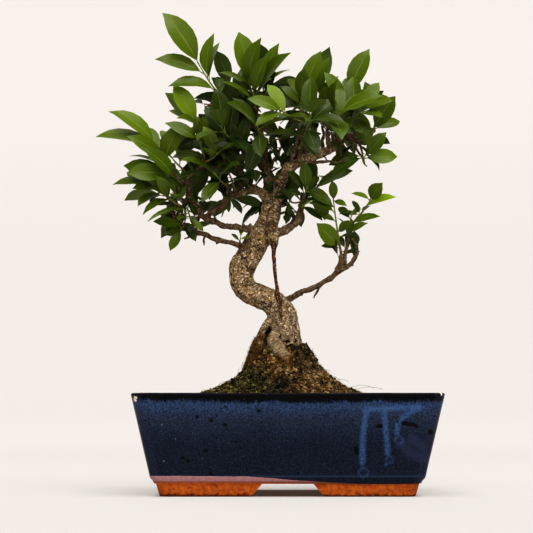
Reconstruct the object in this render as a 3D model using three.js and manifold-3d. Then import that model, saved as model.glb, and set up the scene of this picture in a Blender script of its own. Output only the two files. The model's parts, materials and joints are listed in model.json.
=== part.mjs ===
// A small-leaved fig grown as an S-shaped bonsai, in a rectangular glazed pot.
// Millimetres, +Z up. The picture side of the tree faces -Y. Every place below is measured from the
// middle of the pot at table height; the finished group is then moved so that the origin lies at the
// middle of the whole object's footprint.
import * as THREE from "three";
import { mergeVertices } from "three/addons/utils/BufferGeometryUtils.js";
import Module from "manifold-3d";

const wasm = await Module();
wasm.setup();

// ---------------------------------------------------------------- driving dimensions

const POT_WIDTH = 280; // along X, at the rim
const POT_DEPTH = 200; // along Y, at the rim
const POT_HEIGHT = 93;
const POT_WALL = 9;
const POT_CORNER = 10; // radius of the upright corners
const FOOT_HEIGHT = 11.5;
const BODY_EDGE = 17; // height where the glazed wall turns in towards the feet
const WALL_FLARE = 16.2; // how much further out the rim stands than the wall's foot, on each side
const FOOT_INSET = 21.6; // from the rim's outline in to the top of the feet
const FOOT_TAPER = 4; // the feet narrow by this much towards the table
const FOOT_RING = 22; // width of the ring that the feet are cut from
const FRONT_GAP = [46, 67]; // between the front feet, at the top and at the table
const SIDE_GAP = [58, 76];
const EDGE_ROUNDING = 1.5; // where the wall turns in towards the feet
const RIM_ROUNDING = 2;
const FLOOR_THICKNESS = 10;
const DRAIN_HOLE = { radius: 11, x: 62 };
const DRAIN_MESH = { side: 36, thickness: 1.2, cells: 3, bar: 2.4 };

const CLEARANCE = 0.3; // between two pieces that touch
const TRUNK_SEAT = 0.4; // the same between the tree and the soil it stands in
const SOIL_BELOW_RIM = 5;

const LEAF_THICKNESS = 0.7;
const LEAF_WIDTH = 0.44; // share of the blade's length
const LEAF_FOLD = 0.24; // how far the blade's halves rise from the midrib, per unit of width
const LEAF_ARCH = 0.16; // how far the tip falls, as a share of the length
const PETIOLE = 0.15; // share of the blade's length
const PETIOLE_HALF_WIDTH = 0.7;
const LEAST_TURN = 14; // degrees that a leaf's face is turned from the picture side at the least
const PLAIN_FROM_Y = 2; // leaves that root behind this have fewer corners
const STEM_RADIUS = [1.15, 0.45]; // a green shoot, at its foot and at its bud
const TWIG_RADIUS = 1.25;
const SPROUT_SHARE = 0.64; // the young sprout low on the trunk is this much thinner
const SHOOT_SAG = 0.12; // a shoot leaves its twig low and turns up, by this share of its length
const SEED = 20817;

// ---------------------------------------------------------------- solids

// A closed geometry as a solid that can be cut and joined.
function solid(geometry) {
  const bare = new THREE.BufferGeometry().setAttribute("position", geometry.getAttribute("position"));
  bare.setIndex(geometry.index);
  const merged = mergeVertices(bare, 1e-4);
  return new wasm.Manifold(
    new wasm.Mesh({
      numProp: 3,
      vertProperties: merged.attributes.position.array,
      triVerts: new Uint32Array(merged.index.array),
    }),
  );
}

// A solid as a named mesh with its material.
function piece(name, made, material) {
  const { numProp, vertProperties, triVerts, numVert } = made.getMesh();
  const places = new Float32Array(numVert * 3);
  for (let i = 0; i < numVert; i++) {
    places.set(vertProperties.subarray(i * numProp, i * numProp + 3), i * 3);
  }
  const geometry = new THREE.BufferGeometry();
  geometry.setAttribute("position", new THREE.BufferAttribute(places, 3));
  geometry.setIndex(new THREE.BufferAttribute(triVerts, 1));
  geometry.computeVertexNormals();
  const mesh = new THREE.Mesh(geometry, material);
  mesh.name = name;
  return mesh;
}

function joined(solids) {
  return solids.reduce((all, next) => all.add(next));
}

// The largest body of a solid, without the loose scraps that a cut can leave.
function wholeBody(made) {
  return made.decompose().sort((a, b) => b.volume() - a.volume())[0];
}

function vector([x, y, z]) {
  return new THREE.Vector3(x, y, z);
}

function radians(degrees) {
  return (degrees * Math.PI) / 180;
}

// A round limb along a curve: a cylinder bent along it, with its radius read from a list of radii that
// are spread evenly over the curve. grow makes it that much thicker and longer, to cut a seat for it.
function limb(curve, radii, sides, steps, grow = 0) {
  const geometry = new THREE.CylinderGeometry(1, 1, 1, sides, steps);
  const { tangents, normals, binormals } = curve.computeFrenetFrames(steps, false);
  const places = geometry.getAttribute("position");
  for (let i = 0; i < places.count; i++) {
    const t = places.getY(i) + 0.5;
    const ring = Math.round(t * steps);
    const at = t * (radii.length - 1);
    const below = Math.min(Math.floor(at), radii.length - 2);
    const radius = THREE.MathUtils.lerp(radii[below], radii[below + 1], at - below) + grow;
    const end = ring === 0 ? -grow : ring === steps ? grow : 0;
    const point = curve
      .getPoint(t)
      .addScaledVector(tangents[ring], end)
      .addScaledVector(normals[ring], places.getX(i) * radius)
      .addScaledVector(binormals[ring], -places.getZ(i) * radius);
    places.setXYZ(i, point.x, point.y, point.z);
  }
  return solid(geometry);
}

// A pile of rounded rectangles, each [height, half width, half depth, corner radius], skinned into one
// closed solid.
function roundedPile(levels, cornerSteps = 3) {
  const places = [];
  const faces = [];
  const around = 4 * (cornerSteps + 1);
  for (const [z, halfX, halfY, corner] of levels) {
    for (let quarter = 0; quarter < 4; quarter++) {
      const signX = quarter === 0 || quarter === 3 ? 1 : -1;
      const signY = quarter < 2 ? 1 : -1;
      for (let step = 0; step <= cornerSteps; step++) {
        const angle = ((quarter + step / cornerSteps) * Math.PI) / 2;
        places.push(
          signX * (halfX - corner) + corner * Math.cos(angle),
          signY * (halfY - corner) + corner * Math.sin(angle),
          z,
        );
      }
    }
  }
  for (let level = 0; level < levels.length - 1; level++) {
    for (let i = 0; i < around; i++) {
      const a = level * around + i;
      const b = level * around + ((i + 1) % around);
      faces.push(a, b, b + around, a, b + around, a + around);
    }
  }
  const last = (levels.length - 1) * around;
  for (let i = 1; i < around - 1; i++) {
    faces.push(0, i + 1, i, last, last + i, last + i + 1);
  }
  const geometry = new THREE.BufferGeometry();
  geometry.setAttribute("position", new THREE.Float32BufferAttribute(places, 3));
  geometry.setIndex(faces);
  return solid(geometry);
}

function box(sizeX, sizeY, sizeZ, x, y, z) {
  return solid(new THREE.BoxGeometry(sizeX, sizeY, sizeZ).translate(x, y, z));
}

function uprightCylinder(radius, height, sides, x, y, z) {
  const upright = new THREE.CylinderGeometry(radius, radius, height, sides).rotateX(Math.PI / 2);
  return solid(upright.translate(x, y, z));
}

// ---------------------------------------------------------------- pot

function potLevel(z, inset, corner = POT_CORNER) {
  return [z, POT_WIDTH / 2 - inset, POT_DEPTH / 2 - inset, corner];
}

// How far the outer wall stands in from the rim's outline, at a height.
function wallInset(z) {
  const rim = POT_HEIGHT - RIM_ROUNDING;
  return (WALL_FLARE * (rim - z)) / (rim - BODY_EDGE);
}

// The prism cut away between two feet: narrow under the pot and wide at the table.
function footGap([top, bottom], length, alongY) {
  const outline = new THREE.Shape([
    new THREE.Vector2(-bottom / 2, -1),
    new THREE.Vector2(bottom / 2, -1),
    new THREE.Vector2(top / 2, FOOT_HEIGHT),
    new THREE.Vector2(-top / 2, FOOT_HEIGHT),
  ]);
  const prism = new THREE.ExtrudeGeometry(outline, { depth: length, bevelEnabled: false });
  prism.translate(0, 0, -length / 2).rotateX(Math.PI / 2);
  return solid(alongY ? prism : prism.rotateZ(Math.PI / 2));
}

function potSolid() {
  const body = roundedPile([
    potLevel(FOOT_HEIGHT, FOOT_INSET - EDGE_ROUNDING),
    potLevel(BODY_EDGE - EDGE_ROUNDING, WALL_FLARE + EDGE_ROUNDING / 2),
    potLevel(BODY_EDGE + EDGE_ROUNDING, wallInset(BODY_EDGE + EDGE_ROUNDING)),
    potLevel(POT_HEIGHT - RIM_ROUNDING, wallInset(POT_HEIGHT - RIM_ROUNDING)),
    potLevel(POT_HEIGHT, RIM_ROUNDING),
  ]);
  const hollow = roundedPile([
    potLevel(FOOT_HEIGHT + FLOOR_THICKNESS, FOOT_INSET + POT_WALL),
    potLevel(POT_HEIGHT - RIM_ROUNDING, POT_WALL),
    potLevel(POT_HEIGHT + 1, POT_WALL - RIM_ROUNDING),
  ]);
  const ring = roundedPile([
    potLevel(0, FOOT_INSET + FOOT_TAPER),
    potLevel(FOOT_HEIGHT + 1, FOOT_INSET),
  ]).subtract(
    roundedPile([
      potLevel(-1, FOOT_INSET + FOOT_RING, 4),
      potLevel(FOOT_HEIGHT, FOOT_INSET + FOOT_RING, 4),
    ]),
  );
  const gaps = footGap(FRONT_GAP, POT_DEPTH, true).add(footGap(SIDE_GAP, POT_WIDTH, false));
  const feet = ring.subtract(gaps);
  const holes = [-1, 1].map((side) =>
    uprightCylinder(DRAIN_HOLE.radius, 40, 16, side * DRAIN_HOLE.x, 0, FOOT_HEIGHT),
  );
  return body.add(feet).subtract(hollow).subtract(joined(holes));
}

// A square of plastic mesh that keeps the soil from washing out through a drain hole.
function drainMesh(side) {
  const { side: size, thickness, cells, bar } = DRAIN_MESH;
  const z = FOOT_HEIGHT + FLOOR_THICKNESS + CLEARANCE + thickness / 2;
  const x = side * DRAIN_HOLE.x;
  const pitch = (size - bar) / cells;
  const windows = [];
  for (let i = 0; i < cells; i++) {
    for (let j = 0; j < cells; j++) {
      const across = (i + 0.5) * pitch + bar / 2 - size / 2;
      const along = (j + 0.5) * pitch + bar / 2 - size / 2;
      windows.push(box(pitch - bar, pitch - bar, 4, x + across, along, z));
    }
  }
  return box(size, size, thickness, x, 0, z).subtract(joined(windows));
}

// ---------------------------------------------------------------- wood

// Each limb: points [x, y, z] in order from its root, and the radius at each.
const TRUNK = {
  points: [
    [-4, 2, 86], [-3, 2, 112], [-2, 2, 131], [-1, 0, 146], [-3, -1, 160], [-6, -2, 169], [-15, -3, 178],
    [-27, -2, 183], [-37, 0, 188], [-42.5, 2, 198], [-42, 3, 209], [-36, 2, 219], [-30, 1, 230],
    [-23, 0, 241], [-18, 0, 251], [-15, 0, 261], [-14, 0, 271],
  ],
  radii: [17, 17, 16, 14, 13, 12.6, 11.6, 10.8, 11, 11, 11.6, 12, 11.6, 11, 10, 9.6, 8.6],
};

const ROOTS = {
  left: {
    points: [
      [-9, 1, 166], [-18, -3, 153], [-25, -3, 138], [-31, -1, 124], [-37, 0, 110], [-46, 0, 92],
    ],
    radii: [5, 6.2, 6.6, 6, 5, 3],
  },
  knee: {
    points: [
      [-5, -4, 157], [-14, -13, 148], [-9, -18, 137], [-3, -21, 126], [1, -24, 114], [4, -28, 100],
    ],
    radii: [5, 7, 7.6, 7.2, 6, 4],
  },
  right: {
    points: [
      [-2, 4, 160], [2, 4, 146], [8, 3, 130], [16, 1, 114], [28, -2, 98],
    ],
    radii: [7, 8, 8, 6, 3.6],
  },
  rear_left: {
    points: [
      [-6, 5, 156], [-13, 13, 138], [-20, 19, 120], [-28, 26, 100],
    ],
    radii: [6, 7.2, 6, 3.6],
  },
  rear_right: {
    points: [
      [0, 6, 152], [6, 14, 134], [12, 21, 116], [19, 30, 98],
    ],
    radii: [6, 7.4, 6, 3.6],
  },
};

const BRANCHES = {
  leader: {
    points: [
      [-14, 2, 264], [-17, 6, 287], [-18, 8, 301], [-20, 8, 316], [-24, 6, 332], [-28, 4, 349],
      [-30, 4, 364],
    ],
    radii: [6.6, 4.6, 3.9, 3.3, 2.8, 2.3, 1.6],
  },
  right_arm: {
    points: [
      [-13, 0, 262], [-8, -6, 282], [-3, -12, 296], [8, -16, 305], [20, -18, 310], [33, -18, 314],
      [44, -16, 320], [52, -14, 327], [59, -12, 332],
    ],
    radii: [7, 5.5, 4.8, 4.4, 4.2, 3.9, 3.5, 2.9, 2.2],
  },
  left_upper: {
    points: [
      [-16, -2, 268], [-26, -6, 280], [-40, -12, 279], [-52, -16, 274], [-61, -18, 266], [-71, -18, 259],
      [-77, -17, 254],
    ],
    radii: [5, 3.7, 3.2, 2.8, 2.6, 2.4, 2.2],
  },
  left_mid: {
    points: [
      [-23, -2, 242], [-34, -6, 245], [-46, -10, 246], [-56, -13, 247], [-68, -16, 251], [-77, -18, 255],
      [-85, -22, 265], [-91, -26, 278], [-92, -29, 290],
    ],
    radii: [5, 3.4, 2.7, 2.5, 2.6, 2.8, 2.6, 2.3, 1.6],
  },
  left_low: {
    points: [
      [-31, 0, 227], [-38, -3, 228], [-55, -7, 233], [-66, -10, 235], [-76, -12, 239], [-87, -14, 243],
      [-96, -16, 246], [-102, -16, 253], [-109, -15, 264],
    ],
    radii: [3.8, 2.5, 2.3, 2.2, 2.1, 2, 1.9, 1.7, 1.3],
  },
  right_stub: {
    points: [
      [-16, 0, 244], [-9, -2, 242], [0, -6, 245], [9, -8, 251], [13, -8, 260], [14, -8, 268], [16, -9, 275],
    ],
    radii: [5, 4.4, 3.8, 3.3, 2.9, 2.4, 1.6],
  },
  right_low: {
    points: [
      [-5, 6, 176], [1, 6, 180], [13, 2, 186], [26, 0, 191], [38, -2, 198], [49, -4, 205], [57, -4, 211],
      [63, -4, 218], [66, -3, 224], [64, -3, 230], [60, -3, 237],
    ],
    radii: [3.2, 2.7, 2.4, 2.3, 2.2, 2.1, 2, 1.9, 1.8, 1.5, 1],
  },
  aerial_root: {
    points: [
      [-17, -8, 243], [-13, -12, 233], [-12, -13, 215], [-11, -14, 200], [-9, -14, 188], [-7, -14, 176],
      [-6, -12, 165],
    ],
    radii: [4.4, 2.2, 1.6, 1.5, 1.6, 1.8, 1.4],
  },
};

// Old cut twigs and dead stubs with no leaves: a branch, how far along it, the tip, the radius.
const SPURS = [
  ["right_arm", 0.82, [50, -20, 311], 1.3],
  ["right_arm", 0.44, [56, -27, 308], 1.4],
  ["right_arm", 0.98, [74, -20, 302], 1],
  ["right_low", 0.34, [25, 0, 181], 1],
  ["left_low", 0.6, [-95, -18, 235], 1],
  ["left_low", 0.5, [-77, -14, 229], 0.9],
  ["left_mid", 0.98, [-76, -33, 310], 1.6],
  ["leader", 0.42, [-34, -2, 330], 1.5],
];

function branchCurve({ points }) {
  return new THREE.CatmullRomCurve3(points.map(vector), false, "catmullrom", 0.5);
}

function trunkAndRoots(grow) {
  const trunk = limb(branchCurve(TRUNK), TRUNK.radii, 12, 20, grow);
  const roots = Object.values(ROOTS).map((root) => limb(branchCurve(root), root.radii, 7, 4, grow));
  return trunk.add(joined(roots));
}

// A bare twig from inside a branch to where a shoot starts, meeting it in line.
function twig(start, end, direction, radius) {
  const reach = start.distanceTo(end);
  const turn = end.clone().addScaledVector(direction, -reach * 0.45);
  const steps = reach > 24 ? 2 : 1;
  return limb(new THREE.QuadraticBezierCurve3(start, turn, end), [radius * 1.1, radius], 3, steps);
}

// ---------------------------------------------------------------- leafy shoots

// Each shoot: its branch, how far along it the twig leaves, where the green stem starts, where it ends,
// the number of leaves set by the spiral rule (one that finds no room is left out), the longest blade
// among them, the turn of the first one round the stem in degrees, and the leaves that show in the
// outline of the crown. Each of those is its tip [x, y, z], how far along the stem it grows, its width
// as a share of its length, and how far its face is turned away from the picture side, in degrees.
const SHOOTS = {
  top_left: ["leader", 0.72, [-57, -6, 364], [-82, -16, 398], 0, 36, 10, [
    [-114, -24, 445, 0.95, 0.44, 21],
    [-121, -20, 403, 0.78, 0.44, 30],
    [-68, -8, 428, 0.66, 0.44, 39],
    [-63, 6, 422, 0.6, 0.44, 47],
    [-108, -28, 377, 0.36, 0.44, 43],
    [-65, 6, 390, 0.2, 0.44, 17],
  ]],
  left_crest: ["leader", 0.6, [-73, -12, 335], [-83, -17, 341], 2, 32, 280, [
    [-105, -26, 378, 0.95, 0.47, 0],
    [-110, -6, 357, 0.42, 0.44, 47],
  ]],
  top_crown: ["leader", 0.9, [-31, -4, 368], [-35, -11, 381], 1, 34, 205, [
    [-45, -16, 428, 0.95, 0.48, 0],
    [-63, -14, 392, 0.56, 0.44, 55],
    [-33, 4, 417, 0.74, 0.44, 37],
    [-25, 0, 419, 0.88, 0.44, 25],
  ]],
  top_mid: ["leader", 1, [-21, 4, 367], [-22, 2, 379], 2, 34, 90, [
    [-8, 0, 420, 0.95, 0.44, 43],
    [2, -12, 407, 0.8, 0.44, 50],
    [-9, 10, 415, 0.9, 0.44, 25],
    [3, 10, 397, 0.6, 0.44, 63],
  ]],
  top_front: ["leader", 0.85, [-29, -14, 356], [-31, -20, 369], 4, 32, 60, [
    [-19, -26, 403, 0.95, 0.44, 35],
  ]],
  top_right: ["right_arm", 0.5, [13, -14, 353], [13, -18, 367], 2, 34, 330, [
    [31, -24, 409, 0.95, 0.44, 21],
    [-6, -20, 377, 0.5, 0.44, 25],
    [1, 0, 387, 0.9, 0.44, 25],
  ]],
  top_slim: ["right_arm", 0.62, [33, -2, 352], [31, -4, 368], 2, 32, 20, [
    [39, -8, 406, 0.95, 0.44, 45],
    [13, -14, 373, 0.8, 0.5, 0],
    [38, -20, 378, 0.3, 0.44, 17],
  ]],
  high_right: ["right_arm", 0.75, [51, -12, 354], [57, -16, 368], 0, 34, 15, [
    [76, -22, 411, 0.95, 0.44, 12],
    [35, -20, 390, 0.6, 0.44, 17],
    [58, 0, 389, 0.8, 0.44, 25],
    [79, -24, 371, 0.2, 0.44, 63],
  ]],
  right_crown: ["right_arm", 1, [78, -8, 329], [83, -12, 348], 0, 32, 170, [
    [72, -18, 381, 0.95, 0.48, 0],
    [100, -22, 366, 0.45, 0.54, 0],
    [106, 2, 347, 0.5, 0.44, 25],
    [59, -18, 355, 0.3, 0.44, 25],
  ]],
  right_end: ["right_arm", 0.93, [69, -16, 319], [71, -20, 309], 0, 30, 40, [
    [91, -26, 333, 0.9, 0.48, 0],
    [102, -22, 312, 0.95, 0.54, 0],
    [41, -28, 293, 0.8, 0.44, 33],
    [39, -8, 305, 0.6, 0.44, 25],
  ]],
  yellow: ["right_arm", 0.3, [3, -44, 345], [-4, -52, 349], 1, 34, 240, [
    [-36, -60, 360, 0.95, 0.44, 25],
    [-29, -62, 334, 0.7, 0.44, 41],
    [22, -50, 342, 0.5, 0.44, 0],
  ]],
  far_left: ["left_mid", 0.95, [-107, -22, 296], [-121, -28, 321], 1, 34, 150, [
    [-162, -36, 352, 0.95, 0.44, 43],
    [-176, -34, 329, 0.8, 0.44, 54],
    [-145, -44, 327, 0.5, 0.44, 30],
    [-131, -16, 340, 0.7, 0.44, 0],
  ]],
  left_high: ["left_mid", 1, [-76, -30, 308], [-81, -33, 326], 2, 30, 350, [
    [-84, -38, 347, 0.95, 0.54, 0],
    [-111, -38, 341, 0.9, 0.44, 35],
  ]],
  left_fork: ["left_mid", 0.9, [-74, -36, 305], [-64, -44, 311], 1, 28, 70, [
    [-76, -52, 335, 0.95, 0.54, 0],
    [-37, -48, 320, 0.9, 0.44, 60],
  ]],
  left_mid_front: ["left_mid", 0.85, [-101, -34, 287], [-108, -42, 293], 1, 32, 300, [
    [-145, -56, 293, 0.95, 0.48, 0],
    [-143, -42, 310, 0.7, 0.44, 47],
    [-150, -36, 303, 0.6, 0.44, 25],
    [-131, -30, 315, 0.4, 0.44, 37],
  ]],
  left_out: ["left_low", 1, [-112, -20, 276], [-124, -26, 282], 1, 30, 30, [
    [-160, -30, 285, 0.95, 0.44, 55],
    [-149, -22, 298, 0.9, 0.44, 37],
    [-141, -36, 279, 0.7, 0.44, 37],
  ]],
  left_under: ["left_low", 0.8, [-101, -28, 266], [-110, -36, 274], 1, 30, 100, [
    [-127, -46, 280, 0.95, 0.44, 47],
    [-119, -52, 289, 0.8, 0.44, 17],
    [-132, -42, 257, 0.6, 0.44, 55],
  ]],
  left_drop: ["left_low", 0.72, [-95, -22, 247], [-97, -26, 243], 0, 28, 0, [
    [-108, -30, 224, 0.95, 0.5, 0],
    [-111, -26, 238, 0.7, 0.45, 0],
    [-123, -34, 250, 0.4, 0.44, 25],
  ]],
  left_hang: ["left_low", 0.6, [-88, -28, 251], [-91, -36, 260], 1, 26, 60, [
    [-128, -44, 249, 0.95, 0.44, 66],
    [-77, -34, 241, 0.3, 0.44, 0],
  ]],
  drape_up: ["right_low", 0.43, [50, -4, 225], [43, -8, 274], 0, 30, 150, [
    [42, -12, 289, 0.95, 0.5, 0],
    [55, -18, 266, 0.95, 0.44, 17],
    [17, -18, 284, 0.85, 0.44, 25],
    [22, -12, 270, 0.75, 0.44, 41],
    [29, -8, 259, 0.6, 0.44, 25],
    [60, -22, 251, 0.4, 0.44, 25],
    [28, -22, 249, 0.08, 0.56, 0],
    [32, -2, 230, 0.05, 0.44, 37],
  ]],
  drape_mid: ["right_low", 0.49, [58, -3, 240], [60, -4, 258], 0, 28, 30, [
    [86, -10, 257, 0.6, 0.44, 41],
    [74, -14, 250, 0.1, 0.44, 37],
    [69, 4, 266, 0.95, 0.44, 25],
    [49, 8, 267, 0.8, 0.44, 0],
  ]],
  drape_out: ["right_low", 0.57, [66, 0, 256], [78, -4, 273], 0, 28, 340, [
    [101, -10, 274, 0.6, 0.44, 52],
    [88, -8, 286, 0.95, 0.6, 0],
    [60, -8, 278, 0.95, 0.44, 47],
  ]],
  right_inner: ["right_stub", 1, [15, -12, 274], [18, -16, 281], 1, 30, 30, [
    [15, -22, 306, 0.95, 0.5, 0],
    [42, -26, 265, 0.8, 0.44, 30],
    [30, -20, 294, 0.9, 0.44, 0],
    [-1, -14, 280, 0.3, 0.44, 0],
  ]],
  right_inner_drop: ["right_stub", 0.85, [12, -12, 265], [18, -20, 268], 1, 28, 300, [
    [38, -30, 263, 0.95, 0.44, 47],
    [26, -8, 274, 0.6, 0.44, 37],
  ]],
  back_low: ["left_upper", 0.1, [-23, 20, 275], [-20, 26, 270], 1, 28, 200, [
    [-43, 32, 250, 0.95, 0.44, 63],
    [-43, 36, 267, 0.6, 0.44, 63],
  ]],
  inner_drop: ["left_upper", 0.52, [-55, 8, 278], [-52, 18, 275], 3, 30, 262, [
    [-55, 24, 263, 0.95, 0.44, 25],
    [-50, 30, 266, 0.8, 0.44, 47],
  ]],
  left_back_high: ["left_mid", 0.9, [-95, 10, 301], [-113, 34, 322], 5, 40, 20],
  left_back_out: ["left_low", 0.9, [-100, 12, 274], [-116, 34, 280], 5, 38, 200],
  left_back_low: ["left_low", 0.6, [-85, 16, 262], [-97, 42, 270], 5, 36, 110],
  left_top_back: ["leader", 0.5, [-68, 20, 332], [-90, 34, 351], 5, 40, 60],
  mid_left_front: ["leader", 0.35, [-51, -30, 326], [-60, -54, 334], 6, 38, 180],
  mid_front: ["leader", 0.4, [-23, -34, 328], [-27, -62, 335], 6, 38, 0],
  mid_right_front: ["right_arm", 0.4, [17, -42, 334], [22, -60, 346], 6, 38, 120],
  right_front: ["right_arm", 0.7, [39, -36, 337], [48, -52, 349], 6, 38, 210],
  right_high_front: ["right_arm", 0.85, [58, -28, 343], [69, -40, 355], 6, 36, 60],
  inner_left: ["left_upper", 0.25, [-44, -8, 301], [-57, -16, 311], 6, 36, 10],
  inner_left_low: ["left_upper", 0.68, [-56, -26, 284], [-65, -42, 292], 5, 34, 120],
  right_inner_back: ["right_stub", 0.8, [24, 14, 282], [34, 34, 296], 5, 36, 90],
  right_notch: ["right_stub", 0.45, [2, 5, 268], [-2, 10, 277], 5, 28, 140],
  core_top: ["leader", 0.6, [-34, 12, 346], [-44, 8, 362], 6, 34, 25],
  core_crown: ["leader", 0.75, [-14, 10, 348], [-4, 16, 360], 6, 34, 140],
  core_left: ["leader", 0.45, [-52, 10, 326], [-66, 16, 330], 6, 34, 75],
  core_middle: ["leader", 0.25, [-34, 16, 302], [-44, 26, 308], 6, 32, 190],
  core_low: ["left_upper", 0.35, [-62, 6, 306], [-76, 18, 304], 6, 32, 325],
  core_right: ["right_arm", 0.3, [-2, 14, 312], [6, 24, 322], 6, 34, 236],
  core_front: ["leader", 0.5, [-40, -18, 322], [-46, -40, 318], 5, 34, 110],
  back_top_left: ["leader", 0.8, [-44, 26, 367], [-56, 48, 389], 5, 40, 40],
  back_top: ["leader", 0.95, [-18, 26, 374], [-14, 46, 394], 5, 40, 160],
  back_top_right: ["right_arm", 0.5, [18, 26, 359], [27, 50, 381], 5, 40, 250],
  back_right: ["right_arm", 0.8, [51, 22, 344], [67, 46, 362], 5, 38, 60],
  back_right_low: ["right_arm", 0.75, [44, 24, 338], [58, 46, 346], 5, 36, 180],
  back_mid: ["leader", 0.3, [-6, 34, 324], [-2, 62, 341], 5, 38, 320],
  back_mid_left: ["leader", 0.3, [-44, 32, 318], [-58, 62, 329], 5, 38, 20],
  sprout: ["left_low", 0.12, [-44, -4, 233], [-43, -6, 238], 3, 10, 0],
};

// The shoots of this spring, with paler leaves.
const YOUNG_SHOOTS = new Set(["yellow", "left_crest", "left_fork", "drape_out", "sprout"]);

const UP = new THREE.Vector3(0, 0, 1);
const DEEP = new THREE.Vector3(0, 1, 0);
const SPIRAL = 137.5; // turn from one leaf to the next, in degrees
const CROWN_MIDDLE_Y = 4;
const SMALL_LEAF = 20;
// What a leaf tries in turn until it is clear of its neighbours: more turn round the stem, more
// opening from it, and the share of its length that is kept.
const SPIRAL_TRIES = [
  [0, 0, 1], [22, 0, 1], [-22, 0, 1], [0, 16, 1], [44, 0, 1], [-44, 0, 1], [22, 16, 0.92], [-22, 16, 0.92],
  [70, 0, 0.92], [-70, 0, 0.92], [100, 8, 0.85], [-100, 8, 0.85], [140, 0, 0.8], [180, 10, 0.8],
  [60, 20, 0.66], [-60, 20, 0.66], [0, -14, 0.6], [120, -10, 0.6],
];
// The same for a leaf with a measured tip: more depth at its tip, and more turn of its face.
const MEASURED_TRIES = [
  [0, 0], [-5, 0], [5, 0], [-10, 0], [10, 0], [-5, 25], [5, 25], [-16, 0], [16, 0], [-10, -25], [10, -25],
  [-24, 0], [24, 0], [-32, 0], [32, 0],
];

// A seeded draw from 0 to 1 for a leaf: the same keys always give the same number.
function chance(...keys) {
  let h = SEED;
  for (const key of keys) {
    h = Math.imul(h ^ (key + 0x9e37), 0x85ebca6b) >>> 0;
    h = (h ^ (h >>> 13)) >>> 0;
  }
  h = Math.imul(h, 0xc2b2ae35) >>> 0;
  h = (h ^ (h >>> 16)) >>> 0;
  return h / 4294967296;
}

function shootCurve(start, end) {
  const middle = start.clone().lerp(end, 0.5);
  middle.addScaledVector(UP, -SHOOT_SAG * start.distanceTo(end));
  return new THREE.QuadraticBezierCurve3(start, middle, end);
}

// Turns a direction so that it stands square to the leaf's line.
function squareTo(line, direction) {
  return direction.addScaledVector(line, -direction.dot(line)).normalize();
}

// A leaf that grows by the spiral rule: number k of count on a shoot, at a try.
function spiralLeaf({ curve, number, longest, spin, leaves, tips }, k, attempt) {
  const last = k === leaves - 1 && tips.length === 0;
  const share = leaves > 1 ? k / (leaves - 1) : 0.5;
  const draw = (channel) => 2 * chance(number, k, channel) - 1;
  const [moreTurn, moreOpen, keep] = SPIRAL_TRIES[attempt];
  const turn = radians(spin + SPIRAL * k + 12 * draw(1) + moreTurn);
  const open = radians((last ? 20 : 66 - 26 * share) + 7 * draw(2) + moreOpen);
  const at = 0.14 + (tips.length === 0 ? 0.8 : 0.62) * share;

  const root = curve.getPoint(at);
  const line = curve.getTangent(at);
  const sideways = new THREE.Vector3().crossVectors(line, DEEP).normalize();
  const forwards = new THREE.Vector3().crossVectors(line, sideways);
  const outwards = sideways.multiplyScalar(Math.cos(turn)).addScaledVector(forwards, Math.sin(turn));
  line.multiplyScalar(Math.cos(open)).addScaledVector(outwards, Math.sin(open));
  line.addScaledVector(UP, last ? 0 : 0.12).normalize();

  // The blade turns its face up and out of the crown, away from the tree's middle plane.
  const outOfCrown = root.y > CROWN_MIDDLE_Y ? 0.62 : -0.62;
  const face = new THREE.Vector3(0.3 * draw(3), outOfCrown + 0.3 * draw(4), 0.6 + 0.25 * draw(5));
  squareTo(line, face);
  const length = longest * (last ? 0.97 : 0.88 + 0.1 * draw(6)) * keep;
  const width = LEAF_WIDTH * (1 + 0.1 * draw(7));
  const arch = LEAF_ARCH * (1.3 + 0.7 * draw(8));
  return { root, line, face, length, width, arch, plain: root.y > PLAIN_FROM_Y };
}

// A leaf whose tip was measured.
function measuredLeaf({ curve, number, tips }, k, attempt) {
  const [x, y, z, at, width, turned] = tips[k];
  const [deeper, moreTurned] = MEASURED_TRIES[attempt];
  const draw = (channel) => 2 * chance(number, k + 20, channel) - 1;
  const root = curve.getPoint(at);
  const reach = new THREE.Vector3(x, y + deeper, z).sub(root);
  const span = reach.length();
  const line = reach.normalize();
  const face = squareTo(line, new THREE.Vector3(0, -1, 0));
  const upper = new THREE.Vector3().crossVectors(line, face);
  upper.multiplyScalar(upper.z < 0 ? -1 : 1);
  const turn = radians(Math.max(turned, LEAST_TURN) + moreTurned + 5 * draw(1));
  face.multiplyScalar(Math.cos(turn)).addScaledVector(upper, Math.sin(turn));
  const arch = LEAF_ARCH * (1.5 + turned / 32 + 0.2 * draw(2));
  line.addScaledVector(face, arch / (1 + PETIOLE)).normalize();
  squareTo(line, face);
  return { root, line, face, length: span / Math.hypot(1 + PETIOLE, arch), width, arch };
}

// A leaf as a thin folded and arched blade on its stalk. share runs from 0 at the blade's base to 1 at
// its tip, and side is -1, 0 or 1 for an edge, the midrib and the other edge.
function leafPoint(leaf, share, halfWidth, side, lift) {
  const across = new THREE.Vector3().crossVectors(leaf.face, leaf.line);
  const drop = share > 0 ? -leaf.arch * leaf.length * share * share : 0;
  return leaf.root
    .clone()
    .addScaledVector(leaf.line, leaf.length * (PETIOLE + share))
    .addScaledVector(across, side * halfWidth)
    .addScaledVector(leaf.face, drop + Math.abs(side) * halfWidth * LEAF_FOLD + lift);
}

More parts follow.
